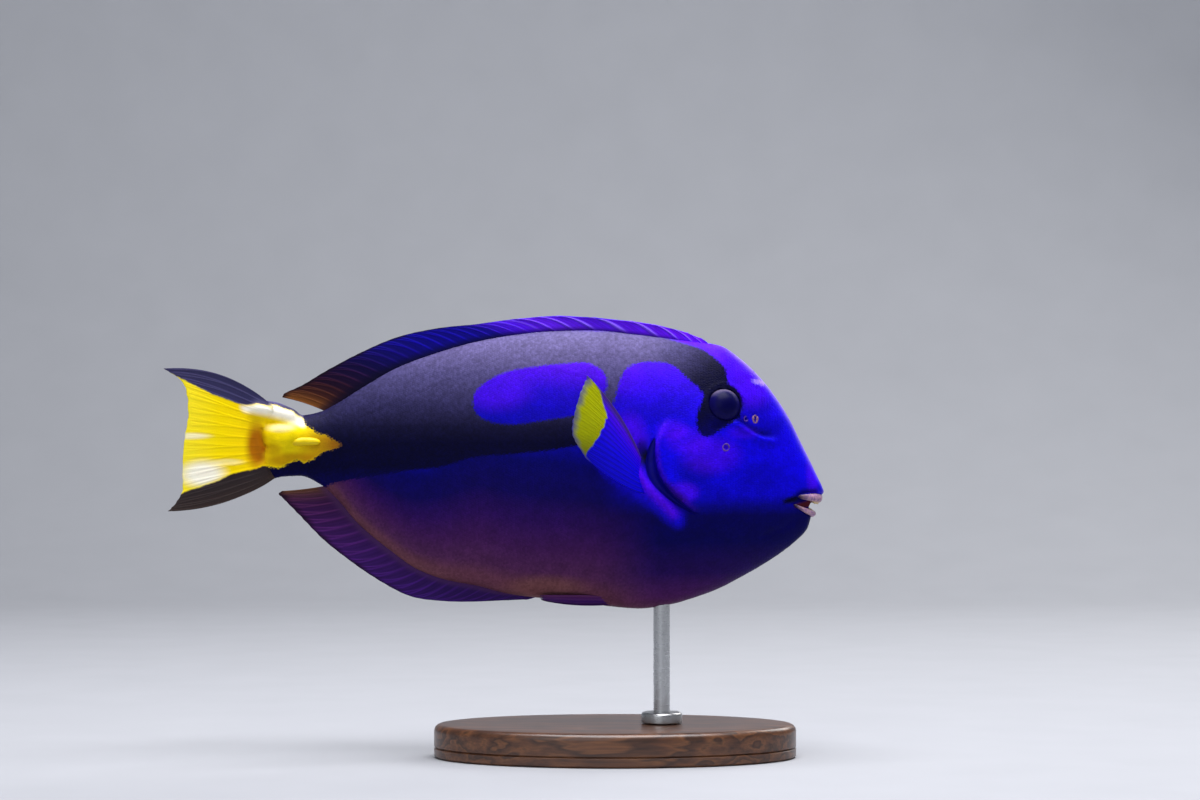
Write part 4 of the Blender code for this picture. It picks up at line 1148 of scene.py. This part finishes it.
def finMaterial(name, look):
    # fin skin over rays: thin, satin, with a little light passing through the web
    values = {"Roughness": 0.44, "IOR": 1.4, "Specular IOR Level": 0.1}
    made, tree = newMaterial(name, values | {"Subsurface Weight": 0.05, "Subsurface Scale": 0.6 * mm})
    shades = {}
    for part, value in (("web", "run"), ("rays", "run"), ("markColours", "inner")):
        if part in look:
            shades[part] = addNode(tree, "ShaderNodeValToRGB", {}, {0: value}, stops=look[part])
    shown = lay(tree, shades["web"], ("ray", shades["rays"]))
    if "mark" in look:
        shown = lay(tree, shown, (markShare(tree, look["mark"], 0.4, 0.35), shades["markColours"]))
    # fine strands lie along the rays
    shown = tinted(tree, lay(tree, shown, *look["paints"].items()), "strand", 0.0, 1.0, 0.8, 1.16)
    return finish(made, shown, grain(tree, 0.5), 0.3, 0.1)


finFinishes = {name: finMaterial(name + "_fin_skin", look) for name, look in finLooks.items()}

# Fins by their guide rays: (root, middle, tip), as (s, h) or (s, distance from the middle plane, h).
dorsalGuides = (
    ((40, 40.5), (42.5, 43), (45, 44.6)), ((47, 42), (51, 46), (56, 48.2)),
    ((59, 44.2), (65, 48.8), (70, 50.6)),
    ((82, 47), (89, 51.2), (96, 52.6)), ((97, 47), (104.5, 50.8), (112, 51.5)),
    ((112, 45.8), (120, 49), (128, 49.5)), ((126, 43.4), (134, 47), (142, 48)),
    ((140, 39.5), (148, 43.6), (156, 44.8)), ((154, 34.5), (162, 38.2), (169.5, 39)),
    ((165, 28.6), (173.5, 32.2), (181.5, 32.6)), ((175, 22.4), (183, 26.2), (191, 27)),
    ((182.4, 18.2), (191, 21.4), (200, 23.4)),
)
analGuides = (
    ((104, -49.6), (106.5, -50.3), (109, -50.6)), ((116, -48.4), (121, -50.4), (126, -51.5)),
    ((126, -45.8), (132.5, -49.6), (139, -51.3)), ((137, -43.4), (144, -47.8), (151, -49.5)),
    ((147.5, -39.6), (155, -43), (162.5, -43.6)), ((157, -33.4), (165, -36.4), (172.5, -36.8)),
    ((166, -26), (174.5, -28.6), (182.5, -28.8)), ((173.5, -18.6), (182, -20.6), (190.5, -20.6)),
    ((179, -12.4), (188, -13.6), (197.4, -13.6)), ((182.4, -9.4), (191, -10.6), (200.5, -11.2)),
)
tailGuides = (
    ((203.5, 21.2), (221.5, 31.2), (243, 33.2)), ((204.5, 19), (220.5, 25.8), (237.4, 30)),
    ((205, 15.6), (218.5, 20.4), (234.4, 25.6)), ((205, 11.4), (218, 14), (233.6, 16.2)),
    ((205, 6.8), (218, 7.2), (235, 7.8)), ((205, 2), (218, 0.6), (235.8, -1.6)),
    ((205, -2.4), (218.5, -5.6), (235.6, -9.8)), ((204.5, -5.6), (220.5, -11), (238.2, -14.8)),
    ((203.5, -8), (221.5, -15.4), (241.4, -17.8)),
)
wingGuides = (
    ((66.1, 15, -2.4), (73.6, 29, 14.8), (86.1, 42, 30.7)),
    ((64.9, 15, -5.6), (76, 31, 9.5), (89.4, 43, 21.6)),
    ((63.2, 15, -9), (76, 30, 1.5), (91.4, 41, 10.5)),
    ((61, 15, -12.6), (73.6, 27, -8.2), (86.6, 35, 1.6)),
)
bellyGuides = (
    ((68, 2.2, -50.8), (86, 3.6, -52.5), (103, 3.4, -50.6)),
    ((70, 3.4, -50.4), (86, 5.6, -50.9), (103.4, 5, -49.9)),
    ((73, 4.6, -49.6), (87, 7.6, -48.9), (103.4, 6.8, -48.9)),
)

# span: the part of the guides; root: mm that it is sunk in the body; half: a ray's half thickness at root
# and tip; flesh: how much thicker the root is; notch, ragged and rounded: how much the tips are cut;
# rayShare, foot, edge and strands: how strong those paints are. A fin states what differs from the usual.
usualFin = {
    "slot": "fins", "spines": 0, "span": (0.0, 1.0), "rows": 44, "perRay": 16, "root": 2.0,
    "half": (0.42, 0.24), "web": 0.24, "rim": 0.1, "flesh": 0.0, "ripple": 0.3,
    "notch": 0.01, "ragged": 0.008, "rounded": 0.0,
    "rayShare": 0.5, "foot": 0.6, "edge": 0.8, "strands": 0.9,
}
fins = {
    "dorsal_fin_spiny": {
        "guides": dorsalGuides, "look": "dorsal", "spines": 9, "soft": 0, "span": (0.0, 0.3704),
        "half": (0.8, 0.34), "web": 0.26, "notch": 0.06, "rows": 40, "perRay": 24, "ripple": 0.25,
        "foot": 0.8, "edge": 0.0, "strands": 1.0,
    },
    "dorsal_fin_soft": {
        "guides": dorsalGuides, "look": "dorsal", "soft": 24, "span": (0.3696, 1.0), "rounded": 0.14,
        "foot": 0.8, "edge": 0.9,
    },
    "anal_fin": {
        "guides": analGuides, "look": "anal", "spines": 3, "soft": 23, "rounded": 0.14, "rayShare": 0.6,
        "edge": 0.85,
    },
    "tail_fin": {
        "guides": tailGuides, "look": "tail", "slot": "tail", "soft": 16, "half": (0.4, 0.25), "web": 0.26,
        "notch": 0.004, "rows": 72, "perRay": 20, "root": 2.5, "flesh": 1.5, "ripple": 0.15, "rayShare": 0.3,
        "foot": 0.0, "edge": 0.0, "strands": 0.3,
    },
    "pectoral_fin": {
        "guides": wingGuides, "look": "wing", "spines": 1, "soft": 13, "half": (0.5, 0.24), "notch": 0.005,
        "rows": 60, "root": 3.0, "flesh": 0.4, "ripple": 0.35, "rayShare": 0.6, "foot": 0.9, "strands": 0.45,
    },
    "pelvic_fin": {
        "guides": bellyGuides, "look": "belly", "spines": 1, "soft": 3, "half": (0.5, 0.28), "web": 0.26,
        "notch": 0.04, "rows": 56, "perRay": 18, "root": 3.0, "ripple": 0.1, "edge": 0.4, "strands": 0.6,
    },
}
sides = ((-1, "right"), (1, "left"))


def guidePoints(guides, u, v):
    root, middle, tip = (along([guide[k] for guide in guides], u) for k in range(3))
    v = v[..., None]
    return root * (1 - v) * (1 - 2 * v) + middle * 4 * v * (1 - v) + tip * v * (2 * v - 1)


def rayCrests(u, v, sizes):
    # how much of a ray stands at u: 1 on its crest; a soft ray parts into two and then four towards its tip
    count = sizes["spines"] + sizes["soft"]
    at = u * (count - 1)
    which = np.rint(at)
    off = at - which
    hard = which < sizes["spines"]
    first = smooth((v - 0.3) / 0.6) * 0.2 * ~hard
    second = smooth((v - 0.65) / 0.35) * 0.08 * ~hard
    wide = np.where(hard, 0.11 - 0.04 * v, 0.13 - 0.06 * v)
    crest = np.zeros_like(off)
    for one in (-1, 1):
        for two in (-1, 1):
            crest = np.maximum(crest, np.exp(-(((off - one * first - two * second) / wide) ** 2)))
    joints = 1 - 0.12 * (np.sin(v * 70 + which * 1.7) > 0.75) * ~hard
    return crest * joints, np.cos(2 * math.pi * off)


def sheetFaces(columns, rows):
    # two sheets of points, joined round the rim
    a = (np.arange(columns - 1)[:, None] * rows + np.arange(rows - 1)).ravel()
    quads = np.stack([a, a + rows, a + rows + 1, a + 1], axis=-1)
    rear = columns * rows
    rim = [k * rows for k in range(columns)] + [(columns - 1) * rows + k for k in range(1, rows)]
    rim += [k * rows + rows - 1 for k in range(columns - 2, -1, -1)] + list(range(rows - 2, 0, -1))
    joins = [[p, rear + p, rear + q, q] for p, q in zip(rim, rim[1:] + rim[:1])]
    return quads.tolist() + (quads[:, ::-1] + rear).tolist() + joins


def finHalf(sizes, reach, crest):
    # half the thickness: rays over a web, a fleshy root, and a fine rim
    ray = sizes["half"][0] + (sizes["half"][1] - sizes["half"][0]) * reach
    web = sizes["web"] * (1 - 0.35 * reach)
    half = web + (ray - web) * crest * (0.35 + 0.65 * smooth(reach / 0.3))
    half = half + sizes["flesh"] * smooth(1 - reach / 0.35)
    closing = smooth((reach - 0.94) / 0.06)
    return half * (1 - closing) + sizes["rim"] * closing


def finValues(sizes, side, line, v, run, crest, spots, inner):
    # what the fins' materials read; line counts the rays
    reach = np.clip(v, 0, 1)
    strand = 0.2 * np.sin(line * 17 + v * 2) + 0.2 * np.sin(line * 41 + 1) + 0.1 * np.sin(line * 5.3 + v * 5)
    edgeFrom = 0.92 if side else 0.78
    jitter = 0.2 * np.sin(line * 2.6) * np.sin(line * 0.7 + 1)
    edge = smooth((reach - edgeFrom) / (1 - edgeFrom) + jitter)
    values = {
        "run": run,
        "ray": crest * sizes["rayShare"] * smooth(reach / 0.25),
        "inner": np.clip(inner, 0, 1),
        "foot": sizes["foot"] * smooth(1 - reach / 0.22),
        "edge": sizes["edge"] * edge * (1 if side else smooth((run - 0.2) / 0.3)),
        "strand": 0.55 + (strand - 0.05) * sizes["strands"] * smooth(reach / 0.3),
        "yellow": inside(spots, marks["yellow"]),
        "wing": inside(spots, marks["wing"]),
    }
    return values | (tailPaints(spots) if sizes["look"] == "tail" else {})


def makeFin(name, node, sizes, side=0):
    # side is -1 on the right, 1 on the left and 0 for a fin on the fish's middle
    sizes = usualFin | sizes
    guides, count = sizes["guides"], sizes["spines"] + sizes["soft"]
    columns, rows = (count - 1) * sizes["perRay"] + 1, sizes["rows"]
    middle = np.array(guides[len(guides) // 2], float)
    rootShare = -sizes["root"] / np.linalg.norm(middle[2] - middle[0])
    levels = np.concatenate([[rootShare], np.linspace(0, 1, rows - 1) ** 0.94])
    u, v = np.meshgrid(np.linspace(0, 1, columns), levels, indexing="ij")
    crest, phase = rayCrests(u, v, sizes)
    low, high = sizes["span"]
    run, reach, line = low + (high - low) * u, np.clip(v, 0, 1), u * count
    # the tips are notched between the rays and a little ragged
    rng = np.random.default_rng(len(name) + count)
    ragged = np.interp(u, np.linspace(0, 1, count * 3), rng.uniform(0, 1, count * 3))
    cut = sizes["notch"] * (0.5 - 0.5 * phase) + sizes["ragged"] * ragged
    cut = cut + sizes["rounded"] * np.maximum((u - 0.92) / 0.08, 0) ** 2
    flat = guidePoints(guides, run, v * (1 - cut * reach**6))
    s, y, h = flat[..., 0], side * flat[..., 1], flat[..., -1]
    y = y + sizes["ripple"] * np.sin(line * 0.55 + v * 1.6) * reach**1.5
    sheet = place(s, y, h)
    normal = unit(np.cross(np.gradient(sheet, axis=0), np.gradient(sheet, axis=1)))
    spots = toPhoto(s.ravel(), y.ravel(), h.ravel())
    # the tail's folds stand on the side that it bends to
    fold = tailFolds(spots).reshape(s.shape) if sizes["look"] == "tail" else 0 * s
    half, near = finHalf(sizes, reach, crest), normal[..., 1] < 0
    one, two = (half + fold * near)[..., None], (half + fold * ~near)[..., None]
    points = np.reshape([sheet + normal * one, sheet - normal * two], (-1, 3))
    made = newObject(name, points, sheetFaces(columns, rows), finFinishes[sizes["look"]])
    inner = (h + 4) / 20 if side else runShare(s, "along")
    for key, value in finValues(sizes, side, line, v, run, crest, spots, inner).items():
        setValues(made, key, np.tile(np.ravel(value), 2))
    wear(made, sizes["slot"], node)


for name in ("dorsal_fin_spiny", "dorsal_fin_soft", "anal_fin", "tail_fin"):
    makeFin(name + "_web", name, fins[name])
for side, word in sides:
    for name in ("pectoral_fin", "pelvic_fin"):
        makeFin(f"{name}_web_{word}", f"{name}_{word}", fins[name], side)
print("fins made")


def makeEyeMaterial():
    # a wet cornea over a wide dark pupil: near black, with a painted soft highlight on top
    made, tree = newMaterial("wet_cornea", {"Roughness": 0.36, "IOR": 1.38, "Specular IOR Level": 0.1})
    radius = addNode(tree, "ShaderNodeMath", timesPlus, {0: grain(tree, 0.9), 1: 0.04, 2: "radius"})
    shown = addNode(tree, "ShaderNodeValToRGB", {}, {0: radius}, stops=[
        (0.0, "#020136"), (0.48, "#03023c"), (0.56, "#070448"), (0.72, "#0c0848"), (0.84, "#0a064a"),
        (0.95, "#04023a"),
    ])
    return finish(made, lay(tree, shown, ("crescent", "#685e7c")))


def makeLipMaterial():
    # bare lip skin, pinkish brown and finely creased, wet enough to shine a little
    values = {"Roughness": 0.4, "IOR": 1.4, "Specular IOR Level": 0.3, "Coat Weight": 0.1}
    made, tree = newMaterial("bare_lip_skin", values)
    blotch = addNode(tree, "ShaderNodeMapRange", softStep, {0: grain(tree, 1.3, 3.0), 1: 0.3, 2: 0.7})
    # dark at the lips' ends: painted shade in the mouth's corners
    shown = lay(tree, "#b48e9c", (blotch, "#846494"), ("inner", "#bc9a78"), ("corner", "#200c34"))
    # the creases darken the lips in their hollows: painted shade
    creases = grain(tree, 0.5, 3.0, (1, 1, 0.3))
    return finish(made, tinted(tree, shown, creases, 0.3, 0.6, 0.7, 1.08), creases, 0.6, 0.2)


def makeToothMaterial():
    # worn enamel, yellowed and glossy
    return twoTone("yellowed_enamel", {"Roughness": 0.25, "IOR": 1.6}, 0.8, 2.0, ("#d8c48c", "#b89a58"))


def makeRimMaterial():
    # thin moist skin round the openings, pinker where blood shows through
    values = {"Roughness": 0.4, "IOR": 1.4, "Specular IOR Level": 0.1}
    return twoTone("moist_rim_skin", values, 0.7, 3.0, ("#1402a0", "#3208b0"), [("pink", "#805a72")])


eyeLook = makeEyeMaterial()
lipLook = makeLipMaterial()
toothLook = makeToothMaterial()
rimLook = makeRimMaterial()
teeth = {
    "count": 12, "spread": 0.44, "wide": 0.75, "thick": 1.0, "proud": 0.5, "behind": 0.2,
    "sizeSpread": 0.08, "turnSpread": 0.06, "seed": 5, "patchSize": 0.05,
}


def toothPlate():
    # a closed chisel, 1 mm long, its edge at +x
    corners = ((-0.5, 0.4, 0.35), (0.1, 0.5, 0.36), (0.42, 0.46, 0.24), (0.5, 0.3, 0.1))
    plate = capped("tooth_plate", [[(x, y, z), (x, -y, z), (x, -y, -z), (x, y, -z)] for x, y, z in corners])
    x, y, z = np.array([v.co for v in plate.data.vertices]).T / mm
    return newPlate(plate, (x, y + 0.3 * z))


def makeTeeth(name, sizes, plate):
    # a row of small chisels just behind the lip
    t = ((np.arange(teeth["count"]) + 0.5) / teeth["count"] * 2 - 1) * teeth["spread"]
    s, y, h, fade = lipLine(sizes, t)
    after, before = lipLine(sizes, t + 0.02), lipLine(sizes, t - 0.02)
    run = unit(np.stack([after[0] - before[0], after[1] - before[1]], axis=1))
    outS, outY = np.where(-run[:, 1] > 0, -1, 1) * (-run[:, 1], run[:, 0])
    length, same = sizes["height"] * fade + teeth["proud"], np.ones(len(t))
    at = (s - outS * teeth["behind"], y - outY * teeth["behind"], h + sizes["up"] * length / 2)
    roots = {
        "points": place(*at),
        "outward": np.column_stack([-outS, outY, 0 * same]),
        "rearward": np.outer(same, (0, 0, sizes["up"])),
        "size": np.column_stack([length, teeth["wide"] * same, teeth["thick"] * same]),
        "rootMap": np.column_stack([np.linspace(0.1, 0.9, len(t)), 0.5 * same, 0 * same]),
    }
    growPlates(name, roots, {}, plate, toothLook, teeth | {"seed": teeth["seed"] + sizes["up"]}, "lips")


def skinSpot(px, py):
    # s and h of the skin that the photo shows at a pixel
    s, h = (photo["snout"][0] - px) * photo["mmPerPixel"], (photo["snout"][1] - py) * photo["mmPerPixel"]
    for _ in range(12):
        atX, atY = toPhoto(s, skinY(s, h), h)
        s, h = s + (atX - px) * photo["mmPerPixel"], h + (atY - py) * photo["mmPerPixel"]
    return float(s), float(h)


def makeRims(name, side, path=28, around=10):
    # low fleshy rings round the nostrils and the pit below the eye, joined as one piece
    turn, roll = circle(path), circle(around)[:, None]
    points, faces, pinks = [], [], []
    for px, py, wide, tall, pink in rims:
        s, h = skinSpot(px, py)
        s, h = s + wide * photo["mmPerPixel"] * np.cos(turn), h + tall * photo["mmPerPixel"] * np.sin(turn)
        angle = side * angleAt(s, h)
        line = sampleGrid(grid, "points", s, angle)
        out = unit(sampleGrid(grid, "normal", s, angle).mean(axis=0))
        fat = (0.16 + 0.3 * pink) * (1 + 0.3 * np.sin(turn * 2 + px) + 0.15 * np.sin(turn * 5))
        line = line - np.outer((line - line.mean(axis=0)) @ out, out) - out * 0.3 * fat.mean()
        away = unit(line - line.mean(axis=0))[:, None]
        ring = line[:, None] + fat[:, None, None] * (away * np.cos(roll) + out * np.sin(roll))
        faces.append(len(points) * path * around + np.array(ringFaces(path + 1, around)) % (path * around))
        points.append(ring.reshape(-1, 3))
        pinks += [pink] * (path * around)
    made = newObject(name, np.vstack(points), np.vstack(faces).tolist(), rimLook)
    setValues(made, "pink", pinks)
    wear(made, "skin")


def makeFace():
    for side, word in sides:
        wear(eyeball("eyeball_" + word, side, material=eyeLook), "eyes", "eye_" + word)
        makeRims("nostril_rims_" + word, side)
    plate = toothPlate()
    for name, sizes in lips.items():
        rings, t, away, rise = lipRings(sizes, wrinkle=0.035)
        made = capped(name + "_skin", rings, lipLook)
        setValues(made, "inner", 0.7 * smooth((rise * sizes["up"] - away * 0.5 - 0.1) / 0.8).ravel())
        # painted shade, growing towards the lips' ends
        setValues(made, "corner", smooth((np.abs(t) - 0.6) / 0.4).ravel())
        wear(made, "lips", name)
        makeTeeth(name.replace("lip", "teeth"), sizes, plate)
    bpy.data.objects.remove(plate)


makeFace()
print("eyes, lips and teeth made")


def makeSpines():
    # hard yellow skin over bone: smoother and brighter than the skin round it
    values = {"Roughness": 0.4, "IOR": 1.45, "Specular IOR Level": 0.3}
    hardSkin = twoTone("yellow_spine_skin", values, 1.2, 3.0, ("#f6dc08", "#cfae0a"), (), (0.3, 1, 1))
    for side, word in sides:
        wear(tailSpine("tail_spine_blade_" + word, side, hardSkin), "tail", "tail_spine_" + word)


makeSpines()
print("tail spines made")

stand = {
    "baseLength": 132.0, "baseWidth": 78.0, "baseHeight": 12.0, "corner": 2.5,
    "rodDiameter": 6.0, "rodAt": 59.0, "rodSunk": 4.0,
    "collarDiameter": 15.0, "collarHeight": 4.0, "collarCorner": 1.2, "gap": 0.3,
}


def turnedPiece(name, slot, node, centre, radii, profile, material, around):
    # a lathe profile of (inset, z), oval where the radii differ
    turn = circle(around)
    rings = []
    for inset, z in profile:
        x, y = centre + (radii[0] - inset) * np.cos(turn), (radii[1] - inset) * np.sin(turn)
        rings.append(np.stack([x, y, z + 0 * turn], axis=1))
    made = capped(name, rings, material)
    made.data.set_sharp_from_angle(angle=math.radians(35))
    wear(made, slot, node)


def rounded(corner, top, steps=7):
    turn = np.linspace(0, math.pi / 2, steps)
    return [(corner * (1 - np.cos(a)), top - corner * (1 - np.sin(a))) for a in turn]


def makeWalnut():
    # oiled walnut: dark long grain under a satin finish
    values = {"Roughness": 0.36, "IOR": 1.5, "Coat Weight": 0.25, "Coat Roughness": 0.2}
    made, tree = newMaterial("oiled_walnut", values)
    fibres = grain(tree, 0.7, 3.0, (0.03, 1, 1))
    inputs = {0: grain(tree, 9.0, 3.0, (0.12, 1, 1)), 1: 7.0}
    bands = addNode(tree, "ShaderNodeMath", {"operation": "MULTIPLY"}, inputs)
    bands = addNode(tree, "ShaderNodeMath", {"operation": "FRACT"}, {0: bands})
    stops = [(0.0, "#3a2114"), (0.45, "#56331e"), (0.8, "#6a4226"), (1.0, "#3a2114")]
    shown = addNode(tree, "ShaderNodeValToRGB", {}, {0: bands}, stops=stops)
    return finish(made, tinted(tree, shown, fibres, 0.3, 0.7, 0.72, 1.12), fibres, 0.25, 0.08)


def makeSteel():
    # brushed stainless steel: grain round the rod, blurred highlights
    made, tree = newMaterial("brushed_steel", {"Metallic": 1.0, "Roughness": 0.3})
    scratches = grain(tree, 0.35, 2.0, (0.1, 0.1, 1))
    blur = addNode(tree, "ShaderNodeMapRange", softStep, {0: scratches, 1: 0.2, 2: 0.8, 3: 0.24, 4: 0.4})
    fill(tree, tree.nodes["Principled BSDF"], {"Roughness": blur})
    return finish(made, "#b9bbbd", scratches, 0.15, 0.02)


def makeStand():
    walnut, steel = makeWalnut(), makeSteel()
    foot = fish["snoutAhead"] - stand["rodAt"]
    high, seat = stand["baseHeight"], stand["baseHeight"] + stand["gap"]
    radii = (stand["baseLength"] / 2, stand["baseWidth"] / 2)
    # the base has a fine groove near the floor
    profile = [(0.6, 0), (0, 0.6), (0, 3.2), (0.5, 3.6), (0, 4.0), *rounded(stand["corner"], high), (8, high)]
    turnedPiece("walnut_base", "stand_wood", "stand_base", 0, radii, profile, walnut, 192)
    collar, rod = stand["collarDiameter"] / 2, stand["rodDiameter"] / 2
    top = seat + stand["collarHeight"]
    profile = [(0.4, seat), (0, seat + 0.4), *rounded(stand["collarCorner"], top), (collar - rod - 0.05, top)]
    turnedPiece("steel_collar", "stand_metal", "stand_collar", foot, (collar, collar), profile, steel, 96)
    top = fish["axisHeight"] + float(through(belly, stand["rodAt"])) + stand["rodSunk"]
    profile = [(0, seat), (0, (seat + top) / 2), (0, top)]
    turnedPiece("steel_rod", "stand_metal", "stand_rod", foot, (rod, rod), profile, steel, 64)


makeStand()
print("stand made")

studio = {
    "reach": 2600.0, "floorDeep": 900.0, "bend": 500.0, "floorZ": -0.2, "target": (-0.04, 0, 0.1),
    "lights": {
        "top": {"at": (0.05, -0.15, 1.15), "size": 0.9, "power": 24.0, "colour": (1.0, 0.98, 1.0)},
        "front": {"at": (-0.55, -1.5, 0.75), "size": 1.1, "power": 5.0, "colour": (0.95, 0.97, 1.0)},
        "rear": {"at": (0.7, 0.8, 0.8), "size": 0.6, "power": 6.0, "colour": (1.0, 0.97, 0.94)},
    },
    "room": {"Color": "#e4e8f0", "Strength": 0.3},
}


def makeStudio():
    # a pale seamless sweep, a large soft light above, a gentle one in front and one behind
    reach, deep, bend, low = (studio[key] for key in ("reach", "floorDeep", "bend", "floorZ"))
    profile = [(-reach, low), (deep, low)]
    turn = np.linspace(0, math.pi / 2, 24)[1:]
    profile += [(deep + bend * math.sin(a), bend * (1 - math.cos(a))) for a in turn] + [(deep + bend, reach)]
    points = [(x, y, z) for y, z in profile for x in (-reach, reach)]
    faces = [[2 * k, 2 * k + 1, 2 * k + 3, 2 * k + 2] for k in range(len(profile) - 1)]
    paper = twoTone("matt_paper", {"Roughness": 0.9}, 40.0, 2.0, ("#a4a7ad", "#aaadb3"))
    newObject("sweep", points, faces, paper)
    for name, given in studio["lights"].items():
        data = bpy.data.lights.new(name, "AREA")
        data.energy, data.size, data.color = given["power"], given["size"], given["colour"]
        light = addObject(name, data)
        light.location = given["at"]
        light.rotation_euler = (Vector(studio["target"]) - light.location).to_track_quat("-Z", "Y").to_euler()
    world = bpy.data.worlds.new("room")
    world.use_nodes = True
    fill(world.node_tree, world.node_tree.nodes["Background"], studio["room"])
    bpy.context.scene.world = world
    # the plain view keeps the blue as deep as it is; the filmic one pales it
    bpy.context.scene.view_settings.view_transform = "Standard"


def makeCamera():
    # square to the fish's side, as the photo is
    data = bpy.data.cameras.new("camera")
    data.lens, data.sensor_width = photo["lens"], photo["sensor"]
    data.clip_start, data.clip_end = 0.05, 20.0  # m
    camera = addObject("camera", data)
    camera.location = (photo["cameraX"] * mm, -photo["cameraBack"] * mm, photo["cameraZ"] * mm)
    camera.rotation_euler = (math.pi / 2, 0, 0)
    bpy.context.scene.camera = camera


makeStudio()
makeCamera()
